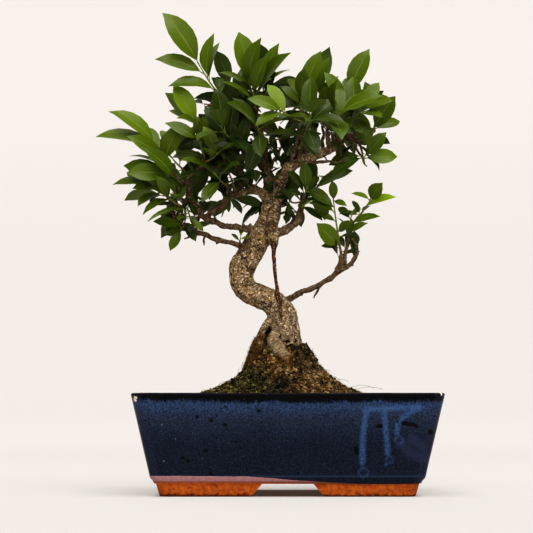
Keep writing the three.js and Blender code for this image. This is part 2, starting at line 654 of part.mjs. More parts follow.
// The outline of a blade: stations [share, half width, side], its upper faces and its rim.
function bladeOutline(leaf, grow) {
  const neck = PETIOLE_HALF_WIDTH + grow;
  const halfWidth = (leaf.length * leaf.width) / 2;
  const tip = 1 + grow / leaf.length;
  if (leaf.plain) {
    const wide = halfWidth + grow;
    return {
      stations: [[0, neck, -1], [0, neck, 1], [0.45, wide, -1], [0.45, 0, 0], [0.45, wide, 1], [tip, 0, 0]],
      faces: [[0, 2, 3], [0, 3, 1], [1, 3, 4], [2, 5, 3], [3, 5, 4]],
      rim: [0, 2, 5, 4, 1],
    };
  }
  const wide = halfWidth * 0.97 + grow;
  const upper = halfWidth * 0.82 + grow;
  return {
    stations: [
      [0, neck, -1], [0, neck, 1], [0.37, wide, -1], [0.37, 0, 0], [0.37, wide, 1],
      [0.71, upper, -1], [0.71, upper, 1], [tip, 0, 0],
    ],
    faces: [[0, 2, 3], [0, 3, 1], [1, 3, 4], [2, 5, 3], [3, 5, 6], [3, 6, 4], [5, 7, 6]],
    rim: [0, 2, 5, 7, 6, 4, 1],
  };
}

function leafSolid(leaf, thickness = LEAF_THICKNESS, grow = 0) {
  const { stations, faces: upperFaces, rim } = bladeOutline(leaf, grow);
  const count = stations.length;
  const places = [];
  for (const lift of [thickness / 2, -thickness / 2]) {
    for (const [share, halfWidth, side] of stations) {
      places.push(...leafPoint(leaf, share, halfWidth, side, lift).toArray());
    }
  }
  const faces = [];
  for (const [a, b, c] of upperFaces) {
    faces.push(a, b, c, a + count, c + count, b + count);
  }
  rim.slice(0, -1).forEach((a, i) => {
    const b = rim[i + 1];
    faces.push(a, a + count, b + count, a, b + count, b);
  });
  // The stalk narrows from the blade's neck to one point inside the stem.
  const root = 2 * count;
  places.push(...leafPoint(leaf, grow ? -PETIOLE / 2 : -PETIOLE, 0, 0, 0).toArray());
  faces.push(root, 0, 1, root, 1 + count, count, root, count, 0, root, 1, 1 + count);
  const geometry = new THREE.BufferGeometry();
  geometry.setAttribute("position", new THREE.Float32BufferAttribute(places, 3));
  geometry.setIndex(faces);
  return solid(geometry);
}

function boxesMeet(a, b) {
  return [0, 1, 2].every((i) => a.min[i] <= b.max[i] && b.min[i] <= a.max[i]);
}

// Keeps what already stands, and says whether a new solid is clear of it.
class Crown {
  constructor() {
    this.standing = [];
  }
  add(made) {
    this.standing.push([made.boundingBox(), made]);
  }
  isClear(made, own) {
    const reach = made.boundingBox();
    return this.standing.every(
      ([box3, other]) => other === own || !boxesMeet(reach, box3) || made.intersect(other).isEmpty(),
    );
  }
}

// ---------------------------------------------------------------- the tree

const shoots = Object.entries(SHOOTS).map(([name, row], number) => {
  const [branch, along, start, end, leaves, longest, spin, tips = []] = row;
  const curve = shootCurve(vector(start), vector(end));
  return { name, number, branch, along, curve, leaves, longest, spin, tips };
});

const limbCurves = Object.fromEntries(
  Object.entries(BRANCHES).map(([name, data]) => [name, branchCurve(data)]),
);

function twigOf({ branch, along, curve, name }) {
  const start = limbCurves[branch].getPoint(along);
  const radius = TWIG_RADIUS * (name === "sprout" ? SPROUT_SHARE : 1);
  const end = curve.getPoint(0).addScaledVector(curve.getTangent(0), -CLEARANCE);
  return twig(start, end, curve.getTangent(0), radius);
}

function spur([branch, along, tip, radius]) {
  const end = vector(tip);
  const start = limbCurves[branch].getPoint(along);
  const direction = end.clone().sub(start).normalize().addScaledVector(UP, 0.25).normalize();
  return twig(start, end, direction, radius);
}

const branches = Object.entries(BRANCHES).map(([name, data]) => {
  return limb(limbCurves[name], data.radii, data.radii[0] > 4 ? 6 : 5, data.points.length - 1);
});
const wood = joined([trunkAndRoots(0), ...branches, ...shoots.map(twigOf), ...SPURS.map(spur)]);

const crown = new Crown();
crown.add(wood);
const stems = shoots.map(({ curve, name }) => {
  const scale = name === "sprout" ? SPROUT_SHARE : 1;
  const made = limb(curve, STEM_RADIUS.map((radius) => radius * scale), 3, 3);
  crown.add(made);
  return made;
});

// Sets leaf number k of a shoot at the first try that is clear of all that already stands. The room it
// needs is thicker and wider than its blade, and leaves out the stalk's foot, which is inside its stem.
function setLeaf(shoot, k, place, tries) {
  const [thickness, margin] = shoot.longest < SMALL_LEAF ? [1, 0.2] : [2, 0.6];
  for (let attempt = 0; attempt < tries.length; attempt++) {
    const leaf = place(shoot, k, attempt);
    const blade = leafSolid(leaf);
    const room = leafSolid(leaf, thickness, margin);
    if (crown.isClear(room) && crown.isClear(blade, stems[shoot.number])) {
      crown.add(blade);
      return [blade];
    }
  }
  return [];
}

// The leaves with measured tips are set first, then those of the spiral rule, the topmost first.
const measured = shoots.map((shoot) =>
  shoot.tips.flatMap((tip, k) => setLeaf(shoot, k, measuredLeaf, MEASURED_TRIES)),
);
const spiral = shoots.map((shoot) =>
  Array.from({ length: shoot.leaves }, (_, i) => shoot.leaves - 1 - i).flatMap((k) =>
    setLeaf(shoot, k, spiralLeaf, SPIRAL_TRIES),
  ),
);
const leafyShoots = shoots.map(({ name, number }) => ({
  name,
  made: joined([stems[number], ...measured[number], ...spiral[number]]),
}));

// ---------------------------------------------------------------- soil

// The root ball rises from the pot as a mound, its profile [radius, height] from the rim level up.
const MOUND = [
  [0, 70], [88, 70], [84, 89], [78, 92.5], [63, 97], [51, 103], [40, 111], [31, 119], [25, 128], [19, 136],
  [0, 138],
];
const MOUND_SQUASH = 0.86; // depth over width
const MOUND_X = -2;
const MOUND_SIDES = 15;
const MOUND_SMOOTH_BELOW = 75; // the mound is a plain round below the soil's surface

function moundSolid() {
  const profile = MOUND.map(([radius, z]) => new THREE.Vector2(radius, z));
  const geometry = new THREE.LatheGeometry(profile, MOUND_SIDES, 0.15).rotateX(Math.PI / 2);
  const places = geometry.getAttribute("position");
  for (let i = 0; i < places.count; i++) {
    const [x, y, z] = [places.getX(i), places.getY(i), places.getZ(i)];
    const angle = Math.atan2(y, x);
    const lumps = 0.05 * Math.sin(3 * angle + z / 9) + 0.03 * Math.sin(5 * angle + z / 5);
    const onTop = Math.hypot(x, y) > 1 && z > MOUND_SMOOTH_BELOW;
    const uneven = onTop ? 1 + lumps : 1;
    places.setXYZ(i, x * uneven + MOUND_X, y * uneven * MOUND_SQUASH, z);
  }
  return solid(geometry);
}

function soilSolid() {
  const top = POT_HEIGHT - SOIL_BELOW_RIM;
  const floor = FOOT_HEIGHT + FLOOR_THICKNESS;
  const insetAt = (z) => {
    const share = (z - floor) / (POT_HEIGHT - RIM_ROUNDING - floor);
    return THREE.MathUtils.lerp(FOOT_INSET + POT_WALL, POT_WALL, share) + CLEARANCE;
  };
  const bed = roundedPile([
    potLevel(floor + CLEARANCE, insetAt(floor + CLEARANCE)),
    potLevel(top, insetAt(top)),
  ]);
  const seats = [-1, 1].map((side) => {
    const size = DRAIN_MESH.side + 2 * CLEARANCE;
    const height = 2 * (DRAIN_MESH.thickness + 2 * CLEARANCE);
    return box(size, size, height, side * DRAIN_HOLE.x, 0, floor);
  });
  const ball = bed.add(moundSolid());
  return wholeBody(ball.subtract(joined(seats)).subtract(trunkAndRoots(TRUNK_SEAT)));
}

// ---------------------------------------------------------------- assembly

const glaze = new THREE.MeshStandardMaterial({ color: 0x1c2740, roughness: 0.2 });
const moss = new THREE.MeshStandardMaterial({ color: 0x4c4320, roughness: 0.95 });
const bark = new THREE.MeshStandardMaterial({ color: 0x7d6a50, roughness: 0.85 });
const leafGreen = new THREE.MeshStandardMaterial({ color: 0x35591a, roughness: 0.4 });
const deepGreen = new THREE.MeshStandardMaterial({ color: 0x1f3d14, roughness: 0.35 });
const youngGreen = new THREE.MeshStandardMaterial({ color: 0x7f9c16, roughness: 0.4 });
const plastic = new THREE.MeshStandardMaterial({ color: 0x111111, roughness: 0.6 });

const bonsai = new THREE.Group();
bonsai.add(piece("pot", potSolid(), glaze));
bonsai.add(piece("drain_mesh_left", drainMesh(-1), plastic));
bonsai.add(piece("drain_mesh_right", drainMesh(1), plastic));
bonsai.add(piece("soil", soilSolid(), moss));
bonsai.add(piece("tree", wood, bark));
for (const { name, made } of leafyShoots) {
  const inside = /^(core|back|inner|mid)_/.test(name);
  const green = YOUNG_SHOOTS.has(name) ? youngGreen : inside ? deepGreen : leafGreen;
  bonsai.add(piece(`shoot_${name}`, made, green));
}

const footprint = new THREE.Box3().setFromObject(bonsai).getCenter(new THREE.Vector3());
bonsai.position.set(-footprint.x, -footprint.y, 0);

export default bonsai;
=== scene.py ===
"""Fig bonsai: an S-shaped small-leaved fig over exposed roots, in a rectangular glazed pot.

The pieces are modelled in metres round the packed frame. Tables of places are in millimetres, measured
from the middle of the pot at table height, with +Z up and the picture side of the tree towards -Y.
"""

import json
import math

import bmesh
import bpy
import numpy as np
from bpy.props import FloatProperty, FloatVectorProperty, IntProperty, PointerProperty
from mathutils import Matrix, Vector, kdtree, noise


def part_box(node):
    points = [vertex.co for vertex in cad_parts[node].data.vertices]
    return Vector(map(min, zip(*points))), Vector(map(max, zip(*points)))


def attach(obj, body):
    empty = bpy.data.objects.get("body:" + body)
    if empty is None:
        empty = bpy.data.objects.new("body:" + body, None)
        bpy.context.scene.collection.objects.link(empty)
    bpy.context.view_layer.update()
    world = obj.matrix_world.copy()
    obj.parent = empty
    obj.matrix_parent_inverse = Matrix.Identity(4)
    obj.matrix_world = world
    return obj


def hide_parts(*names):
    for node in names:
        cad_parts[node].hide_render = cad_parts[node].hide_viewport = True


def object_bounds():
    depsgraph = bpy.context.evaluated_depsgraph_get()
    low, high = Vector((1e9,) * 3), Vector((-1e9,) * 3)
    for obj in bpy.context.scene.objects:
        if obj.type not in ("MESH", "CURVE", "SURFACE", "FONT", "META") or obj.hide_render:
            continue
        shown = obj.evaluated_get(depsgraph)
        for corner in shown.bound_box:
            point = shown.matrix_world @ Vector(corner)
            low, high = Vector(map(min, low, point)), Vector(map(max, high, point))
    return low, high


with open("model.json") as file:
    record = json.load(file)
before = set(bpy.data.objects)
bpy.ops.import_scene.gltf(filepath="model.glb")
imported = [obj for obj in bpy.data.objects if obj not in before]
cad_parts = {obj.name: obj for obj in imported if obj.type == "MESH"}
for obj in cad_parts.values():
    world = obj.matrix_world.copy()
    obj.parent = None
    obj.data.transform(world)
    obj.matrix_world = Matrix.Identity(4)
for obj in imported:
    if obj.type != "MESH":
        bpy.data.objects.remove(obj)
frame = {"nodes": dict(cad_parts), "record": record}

bl_info = {
    "name": "Fig Bonsai",
    "version": (1, 0, 0),
    "blender": (4, 5, 0),
    "location": "3D View > Sidebar > Bonsai",
    "description": "Models a fig bonsai in a glazed pot around its packed frame",
    "category": "Object",
}

MM = 0.001
SWEEP_BEND = 1.2  # radius of the backdrop's bend
CAD_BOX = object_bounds()
POT_LOW, POT_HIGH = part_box("pot")
POT_MIDDLE = (POT_LOW + POT_HIGH) / 2
SHOOT_NODES = sorted(name for name in frame["nodes"] if name.startswith("shoot_"))
SLOT_OF = {row["node"]: row["material_slot"] for row in frame["record"]["subparts"]}


def place(x, y, z):
    """A point of the tables, in metres in the shared frame."""
    return Vector((POT_MIDDLE.x + x * MM, POT_MIDDLE.y + y * MM, z * MM))


def draws(piece, number=0):
    """The seeded draws of a piece."""
    return np.random.default_rng(SEEDS[piece] + number)


# ---- tables of the tree, in millimetres

POT_HALF = (140.0, 100.0)  # half width and half depth at the rim
POT_LEVELS = {"foot": 11.5, "edge": 17.0, "floor": 21.5, "rim": 91.0, "top": 93.0}
WALL_FLARE = 16.2
FOOT_INSET = 21.6
FOOT_TAPER = 4.0
FOOT_RING = 22.0
FRONT_GAP = (46.0, 67.0)
SIDE_GAP = (58.0, 76.0)
POT_CORNER = 10.0
CORNER_STEPS = 8
WALL_STEPS = 36
INNER_STEPS = 6
WALL_CUTS = (131, 41)  # across the long walls and the short ones, which gives the drawn glaze its points
DRAIN_HOLES = (-62.0, 62.0)
DRAIN_RADIUS = 11.0
SOIL_LEVEL = 88.0
POT_CREASE = math.radians(38)  # edges turned more than this stay sharp
LEAF_CREASE = math.radians(65)

# The mound's profile [radius, height], squashed in depth.
MOUND = [(0, 138), (19, 136), (25, 128), (31, 118), (38.5, 110.5), (48, 103), (59, 97), (71, 92.5),
         (80, 89), (96, 86)]
MOUND_SQUASH = 0.86
MOUND_X = -2.0

# Each limb: its points, and its radius at each.
TRUNK = ([(-4, 2, 86), (-3, 2, 112), (-2, 2, 131), (-1, 0, 146), (-3, -1, 160), (-6, -2, 169),
          (-15, -3, 178), (-27, -2, 183), (-37, 0, 188), (-42.5, 2, 198), (-42, 3, 209), (-36, 2, 219),
          (-30, 1, 230), (-23, 0, 241), (-18, 0, 251), (-15, 0, 261), (-14, 0, 271)],
         [17, 17, 16, 14, 13, 12.6, 11.6, 10.8, 11, 11, 11.6, 12, 11.6, 11, 10, 9.6, 8.6])
ROOTS = {
    "left": ([(-9, 1, 166), (-18, -3, 153), (-25, -3, 138), (-31, -1, 124), (-37, 0, 110), (-46, 0, 92)],
             [5, 6.2, 6.6, 6, 5, 3]),
    "knee": ([(-6, -3, 151), (-13, -12, 142), (-10, -17.5, 135), (-3.5, -21, 125), (1, -24, 114),
              (4, -28, 100)], [4.6, 6.0, 6.9, 7.0, 6.2, 4]),
    "right": ([(-2, 4, 160), (2, 4, 146), (8, 3, 130), (16, 1, 114), (28, -2, 98)], [7, 8, 8, 6, 3.6]),
    "rear_left": ([(-6, 5, 156), (-13, 13, 138), (-20, 19, 120), (-28, 26, 100)], [6, 7.2, 6, 3.6]),
    "rear_right": ([(0, 6, 152), (6, 14, 134), (12, 21, 116), (19, 30, 98)], [6, 7.4, 6, 3.6]),
}
BRANCHES = {
    "leader": ([(-14, 2, 264), (-17, 6, 287), (-18, 8, 301), (-20, 8, 316), (-24, 6, 332), (-28, 4, 349),
                (-30, 4, 364)], [6.6, 4.6, 3.9, 3.3, 2.8, 2.3, 1.6]),
    "right_arm": ([(-13, 0, 262), (-8, -6, 282), (-3, -12, 296), (8, -16, 305), (20, -18, 310),
                   (33, -18, 314), (44, -16, 320), (52, -14, 327), (59, -12, 332)],
                  [7, 5.5, 4.8, 4.4, 4.2, 3.9, 3.5, 2.9, 2.2]),
    "left_upper": ([(-16, -2, 268), (-26, -6, 280), (-40, -12, 279), (-52, -16, 274), (-61, -18, 266),
                    (-71, -18, 259), (-77, -17, 254)], [5, 3.7, 3.2, 2.8, 2.6, 2.4, 2.2]),
    "left_mid": ([(-23, -2, 242), (-34, -6, 245), (-46, -10, 246), (-56, -13, 247), (-68, -16, 251),
                  (-77, -18, 255), (-85, -22, 265), (-91, -26, 278), (-92, -29, 290)],
                 [5, 3.4, 2.7, 2.5, 2.6, 2.8, 2.6, 2.3, 1.6]),
    "left_low": ([(-31, 0, 227), (-38, -3, 228), (-55, -7, 233), (-66, -10, 235), (-76, -12, 239),
                  (-87, -14, 243), (-96, -16, 246), (-102, -16, 253), (-109, -15, 264)],
                 [3.8, 2.5, 2.3, 2.2, 2.1, 2, 1.9, 1.7, 1.3]),
    "right_stub": ([(-16, 0, 244), (-9, -2, 242), (0, -6, 245), (9, -8, 251), (13, -8, 260), (14, -8, 268),
                    (16, -9, 275)], [5, 4.4, 3.8, 3.3, 2.9, 2.4, 1.6]),
    "right_low": ([(-5, 6, 176), (1, 6, 180), (13, 2, 186), (26, 0, 191), (38, -2, 198), (49, -4, 205),
                   (57, -4, 211), (63, -4, 218), (66, -3, 224), (64, -3, 230), (60, -3, 237)],
                  [3.2, 2.7, 2.4, 2.3, 2.2, 2.1, 2, 1.9, 1.8, 1.5, 1]),
    "aerial_root": ([(-17, -8, 243), (-13, -12, 233), (-12, -13, 215), (-11, -14, 200), (-9, -14, 188),
                     (-7, -14, 176), (-6, -12, 165)], [4.4, 2.2, 1.6, 1.5, 1.6, 1.8, 1.4]),
}
# Old cut twigs and dead stubs: the branch, how far along it, the tip, and the radius.
SPURS = [
    ("right_arm", 0.82, (50, -20, 311), 1.3),
    ("right_arm", 0.44, (56, -27, 308), 1.4),
    ("right_arm", 0.98, (74, -20, 302), 1.0),
    ("right_low", 0.34, (25, 0, 181), 1.0),
    ("left_low", 0.6, (-95, -18, 235), 1.0),
    ("left_low", 0.5, (-77, -14, 229), 0.9),
    ("left_mid", 0.98, (-76, -33, 310), 1.6),
    ("leader", 0.42, (-34, -2, 330), 1.5),
]
# Fine dead twigs: the branch, the stretch of it they grow on, and how many.
DEAD_TWIGS = [("right_arm", 0.6, 0.98, 4), ("left_mid", 0.7, 0.95, 3), ("left_low", 0.6, 0.95, 3),
              ("left_upper", 0.6, 1.0, 3), ("leader", 0.25, 0.8, 9)]
# Each leafy shoot: its branch, how far along it the bare twig leaves, and the green stem's start and end.
TWIGS = {
    "top_left": ("leader", 0.72, (-57, -6, 364), (-82, -16, 398)),
    "left_crest": ("leader", 0.6, (-73, -12, 335), (-83, -17, 341)),
    "top_crown": ("leader", 0.9, (-31, -4, 368), (-35, -11, 381)),
    "top_mid": ("leader", 1, (-21, 4, 367), (-22, 2, 379)),
    "top_front": ("leader", 0.85, (-29, -14, 356), (-31, -20, 369)),
    "top_right": ("right_arm", 0.5, (13, -14, 353), (13, -18, 367)),
    "top_slim": ("right_arm", 0.62, (33, -2, 352), (31, -4, 368)),
    "high_right": ("right_arm", 0.75, (51, -12, 354), (57, -16, 368)),
    "right_crown": ("right_arm", 1, (78, -8, 329), (83, -12, 348)),
    "right_end": ("right_arm", 0.93, (69, -16, 319), (71, -20, 309)),
    "yellow": ("right_arm", 0.3, (3, -44, 345), (-4, -52, 349)),
    "far_left": ("left_mid", 0.95, (-107, -22, 296), (-121, -28, 321)),
    "left_high": ("left_mid", 1, (-76, -30, 308), (-81, -33, 326)),
    "left_fork": ("left_mid", 0.9, (-74, -36, 305), (-64, -44, 311)),
    "left_mid_front": ("left_mid", 0.85, (-101, -34, 287), (-108, -42, 293)),
    "left_out": ("left_low", 1, (-112, -20, 276), (-124, -26, 282)),
    "left_under": ("left_low", 0.8, (-101, -28, 266), (-110, -36, 274)),
    "left_drop": ("left_low", 0.72, (-95, -22, 247), (-97, -26, 243)),
    "left_hang": ("left_low", 0.6, (-88, -28, 251), (-91, -36, 260)),
    "drape_up": ("right_low", 0.43, (50, -4, 225), (43, -8, 274)),
    "drape_mid": ("right_low", 0.49, (58, -3, 240), (60, -4, 258)),
    "drape_out": ("right_low", 0.57, (66, 0, 256), (78, -4, 273)),
    "right_inner": ("right_stub", 1, (15, -12, 274), (18, -16, 281)),
    "right_inner_drop": ("right_stub", 0.85, (12, -12, 265), (18, -20, 268)),
    "back_low": ("left_upper", 0.1, (-23, 20, 275), (-20, 26, 270)),
    "inner_drop": ("left_upper", 0.52, (-55, 8, 278), (-52, 18, 275)),
    "left_back_high": ("left_mid", 0.9, (-95, 10, 301), (-113, 34, 322)),
    "left_back_out": ("left_low", 0.9, (-100, 12, 274), (-116, 34, 280)),
    "left_back_low": ("left_low", 0.6, (-85, 16, 262), (-97, 42, 270)),
    "left_top_back": ("leader", 0.5, (-68, 20, 332), (-90, 34, 351)),
    "mid_left_front": ("leader", 0.35, (-51, -30, 326), (-60, -54, 334)),
    "mid_front": ("leader", 0.4, (-23, -34, 328), (-27, -62, 335)),
    "mid_right_front": ("right_arm", 0.4, (17, -42, 334), (22, -60, 346)),
    "right_front": ("right_arm", 0.7, (39, -36, 337), (48, -52, 349)),
    "right_high_front": ("right_arm", 0.85, (58, -28, 343), (69, -40, 355)),
    "inner_left": ("left_upper", 0.25, (-44, -8, 301), (-57, -16, 311)),
    "inner_left_low": ("left_upper", 0.68, (-56, -26, 284), (-65, -42, 292)),
    "right_inner_back": ("right_stub", 0.8, (24, 14, 282), (34, 34, 296)),
    "right_notch": ("right_stub", 0.45, (2, 5, 268), (-2, 10, 277)),
    "core_top": ("leader", 0.6, (-34, 12, 346), (-44, 8, 362)),
    "core_crown": ("leader", 0.75, (-14, 10, 348), (-4, 16, 360)),
    "core_left": ("leader", 0.45, (-52, 10, 326), (-66, 16, 330)),
    "core_middle": ("leader", 0.25, (-34, 16, 302), (-44, 26, 308)),
    "core_low": ("left_upper", 0.35, (-62, 6, 306), (-76, 18, 304)),
    "core_right": ("right_arm", 0.3, (-2, 14, 312), (6, 24, 322)),
    "core_front": ("leader", 0.5, (-40, -18, 322), (-46, -40, 318)),
    "back_top_left": ("leader", 0.8, (-44, 26, 367), (-56, 48, 389)),
    "back_top": ("leader", 0.95, (-18, 26, 374), (-14, 46, 394)),
    "back_top_right": ("right_arm", 0.5, (18, 26, 359), (27, 50, 381)),
    "back_right": ("right_arm", 0.8, (51, 22, 344), (67, 46, 362)),
    "back_right_low": ("right_arm", 0.75, (44, 24, 338), (58, 46, 346)),
    "back_mid": ("leader", 0.3, (-6, 34, 324), (-2, 62, 341)),
    "back_mid_left": ("leader", 0.3, (-44, 32, 318), (-58, 62, 329)),
    "sprout": ("left_low", 0.12, (-44, -4, 233), (-43, -6, 238)),
}
# The knob that the aerial root hangs from, and the ridge as which it runs on down the trunk.
KNOB = ([(-16, -8, 247), (-13.8, -10, 240), (-12.4, -9.5, 233), (-12, -8, 226)], [4.0, 5.4, 4.4, 2.4])
RIDGE = ([(-10, -12.6, 186), (-7.4, -13.6, 177), (-6, -13.8, 168), (-5, -13, 161)], [1.4, 1.3, 1.0, 0.6])
# How far the reddish root bark covers each.
RED_BARK = {"aerial_root": 1.0, "ridge": 0.7, "knob": 0.75}
# Hollows and crevices, seen from the front: across, height, half width, half height, depth, and the darkness
# of the painted shade in them.
# The one with a darkness under zero is a spot of lichen.
SHADED_HOLLOWS = [(-22.5, 236, 2.6, 2.6, 0.0, -1), (-39, 216, 3.0, 5.0, 0.4, 0.66),
           (-33, 207, 5.0, 4.0, 0.4, 0.55), (-25, 226, 5.0, 3.5, 0.4, 0.55), (-17, 262, 5.0, 1.4, 0.5, 0.7),
           (-16.6, 150.5, 1.8, 3.4, 7, 1), (-18.6, 144, 1.0, 6, 4, 1), (-19.5, 134, 0.9, 6, 3, 1),
           (-5.6, 144.5, 1.2, 3.0, 3, 1), (-0.5, 140, 4.2, 1.2, 3, 1), (4.5, 135, 4.0, 1.5, 3, 1),
           (8, 141, 1.0, 4.0, 2, 1), (-13, 283, 6, 7, 0.8, 0.45), (-18, 272, 5, 3, 0.6, 0.35),
           (-30, 215, 4, 5, 0.4, 0.30), (-8, 160, 5, 8, 0.4, 0.35)]
# How high moss and peat climb each root above the table, and over what height they thin out.
MOSS_LINES = {"root_left": (147, 22), "root_knee": (127, 7), "root_right": (134, 9),
              "root_rear_left": (140, 14), "root_rear_right": (138, 14)}
TRUNK_MOSS = (135, 9)
FUZZ_TONE = (0.23, 0.125, 0.038)
# Where the seeded draws of each piece start, and the noise that sways limbs and twigs.
SEEDS = {"stubs": 612, "twigs": 613, "fuzz": 614, "sprigs": 4099, "shoots": 4100, "bed": 76, "crumbs": 77,
         "fibres": 78, "sway": 5}
LIMB_STEP = 1.2
KNOT_SPACING = 8.5
KNEE_FOOT = 121  # below this height the knee root shows no rings
# How unevenly a limb grows: its sway, and how far it swells and knots, as shares of its radius.
THICK_UNEVEN = (0.35, 0.03, 0.02)
BRANCH_UNEVEN = (0.85, 0.12, 0.20)
SLIM_UNEVEN = {"ridge": (0.3, 0.10, 0.06), "aerial_root": (0.3, 0.10, 0.06)}
SPROUT_SHARE = 0.64
TWIG_RADIUS = 1.25
TWIG_FLARE = 1.35  # a twig's foot, as a share of its radius
TWIG_SIDES = 9
SHOOT_SAG = 0.12
STEM_RADIUS = (1.15, 0.45)
BUD_STEPS = np.array((-0.4, 0.8, 2.6, 5.2))
BUD_RADII = np.array((0.45, 0.75, 0.55, 0.08))
STALK_RADII = np.array((0.72, 0.55, 0.5, 0.4))

# A packed blade: the distance between its faces and the width of its neck, its stalk as a share of its
# length, and the share of its half width that its widest corners reach.
PACKED_THICKNESS = 0.7 * MM
PACKED_NECK = 1.4 * MM
STALK = 0.15
FULL_SHARE = 0.97


# ---- settings


def colour_setting(name, description, red, green, blue):
    """A colour setting."""
    return FloatVectorProperty(name=name, description=description, default=(red, green, blue, 1), size=4,
                               min=0, max=1, subtype="COLOR")


def length_setting(name, description, default, low, high):
    """A length setting in metres."""
    return FloatProperty(name=name, description=description, default=default, min=low, max=high,
                         subtype="DISTANCE", unit="LENGTH")


def angle_setting(name, description, default, low, high):
    """An angle setting."""
    return FloatProperty(name=name, description=description, default=default, min=low, max=high,
                         subtype="ANGLE", unit="ROTATION")


def number_setting(name, description, default, low, high):
    """A setting without a unit."""
    return FloatProperty(name=name, description=description, default=default, min=low, max=high)


def count_setting(name, description, default, high):
    """A number of things."""
    return IntProperty(name=name, description=description, default=default, min=0, max=high)


class BONSAI_PG_pot(bpy.types.PropertyGroup):
    """Sizes and colours of the glazed pot."""

    wall: length_setting("Wall", "Thickness of the wall at the rim", 9 * MM, 4 * MM, 15 * MM)
    waviness: length_setting("Waviness", "How far the hand-made walls wander", 0.7 * MM, 0, 2 * MM)
    glaze: colour_setting("Glaze", "Dark navy of the walls", 0.0036, 0.0080, 0.0180)
    band: colour_setting("Band", "Speckled blue below the rim and in the runs", 0.060, 0.108, 0.225)
    clay: colour_setting("Clay", "Bare terracotta of the feet", 0.60, 0.165, 0.026)
    mauve: colour_setting("Mauve", "Thin dull glaze over the lower edge", 0.55, 0.305, 0.320)


class BONSAI_PG_wood(bpy.types.PropertyGroup):
    """Sizes and colours of the trunk, roots, branches and twigs."""

    voxel: length_setting("Voxel", "Cell of the mesh that joins the limbs", 0.8 * MM, 0.6 * MM, 3 * MM)
    swell: length_setting("Swell", "Height of the lumps in trunk and roots", 1.5 * MM, 0, 4 * MM)
    dark: colour_setting("Dark bark", "Crevices and shaded bark", 0.066, 0.038, 0.016)
    bark: colour_setting("Bark", "Main tone of the bark", 0.56, 0.355, 0.165)
    fleck: colour_setting("Fleck", "Pale cork flecks", 1.0, 0.86, 0.62)
    twig: colour_setting("Twig", "Smooth bark of the thin twigs", 0.50, 0.345, 0.195)


class BONSAI_PG_leaves(bpy.types.PropertyGroup):
    """Sizes and colours of the leaves and green stems."""

    thickness: length_setting("Thickness", "Thickness of a blade at its midrib", 0.5 * MM, 0.2 * MM, 1 * MM)
    inner: count_setting("Inner leaves", "Small old leaves round the foot of each shoot", 4, 12)
    old: colour_setting("Old leaf", "Dark green of an old leaf", 0.014, 0.040, 0.004)
    grown: colour_setting("Grown leaf", "Green of a grown leaf", 0.098, 0.152, 0.004)
    young: colour_setting("Young leaf", "Yellow-green of a young leaf", 0.25, 0.37, 0.006)
    stem: colour_setting("Stem", "Green of a young stem", 0.14, 0.17, 0.02)


class BONSAI_PG_moss(bpy.types.PropertyGroup):
    """The soil, its moss, crumbs and hairs."""

    crumbs: count_setting("Crumbs", "Number of loose crumbs and moss cushions", 12000, 40000)
    fibres: count_setting("Fibres", "Number of moss fibres", 30000, 49000)
    fuzz: count_setting("Fuzz", "Number of moss fibres on the roots", 9000, 40000)
    soil: colour_setting("Soil", "Dark wet soil between the crumbs", 0.006, 0.005, 0.003)
    rust: colour_setting("Rust", "Dry orange-brown tips of moss and peat", 0.48, 0.26, 0.08)


class BONSAI_PG_stage(bpy.types.PropertyGroup):
    """The camera, floor and lights."""

    camera_distance: length_setting("Camera distance", "From the pot's middle to the camera", 2.1, 0.5, 10)
    camera_height: length_setting("Camera height", "Height of the camera above the table", 0.09, 0, 3)
    camera_side: length_setting("Camera side", "How far the camera stands to the left", 0.019, -1, 1)
    tilt: angle_setting("Tilt", "How far the camera looks up", math.radians(3.28), -1, 1)
    lens: number_setting("Lens", "Focal length on a 36 mm sensor", 152.4, 20, 400)
    floor: colour_setting("Floor", "Pale paper of the floor and backdrop", 0.300, 0.288, 0.279)
    lift: colour_setting("Lift", "Light that all of the paper gives off by itself", 0.328, 0.3125, 0.299)
    glow: colour_setting("Glow", "Light that the backdrop's top gives off by itself", 0.414, 0.396, 0.379)
    wall_tone: number_setting("Wall tone", "Tone of the risen paper, as a share of the floor", 0.835, 0, 1)
    light: FloatVectorProperty(name="Light", description="Colour of the lights",
                               default=(1.0, 0.99, 0.98), size=3, min=0, max=1, subtype="COLOR")
    ambient: number_setting("Ambient", "Strength of the light from all sides", 0.10, 0, 5)
    key_spread: angle_setting("Key spread", "How wide the overhead light looks", math.radians(65), 0, math.pi)
    key_power: number_setting("Key light", "Strength of the overhead light", 2.6, 0, 50)
    fill_spread: angle_setting("Fill spread", "How wide the front light looks", math.radians(70), 0, math.pi)
    fill_power: number_setting("Fill light", "Strength of the front light", 0.9, 0, 50)


SETTINGS = {
    "bonsai_pot": BONSAI_PG_pot,
    "bonsai_wood": BONSAI_PG_wood,
    "bonsai_leaves": BONSAI_PG_leaves,
    "bonsai_moss": BONSAI_PG_moss,
    "bonsai_stage": BONSAI_PG_stage,
}


# ---- objects and modelling


def pick_only(piece):
    """Selects one object and no other, and makes it active."""
    bpy.ops.object.select_all(action="DESELECT")
    piece.select_set(True)
    bpy.context.view_layer.objects.active = piece


def apply_place(piece):
    """Applies an object's place, turn and size to its mesh."""
    pick_only(piece)
    bpy.ops.object.transform_apply(location=True, rotation=True, scale=True)


def primitive(kind, scale=(1, 1, 1), **settings):
    """A primitive mesh object, added with nothing else selected, its place and size applied."""
    bpy.ops.object.select_all(action="DESELECT")
    getattr(bpy.ops.mesh, f"primitive_{kind}_add")(**settings)
    piece = bpy.context.object
    piece.scale = scale
    apply_place(piece)
    return piece


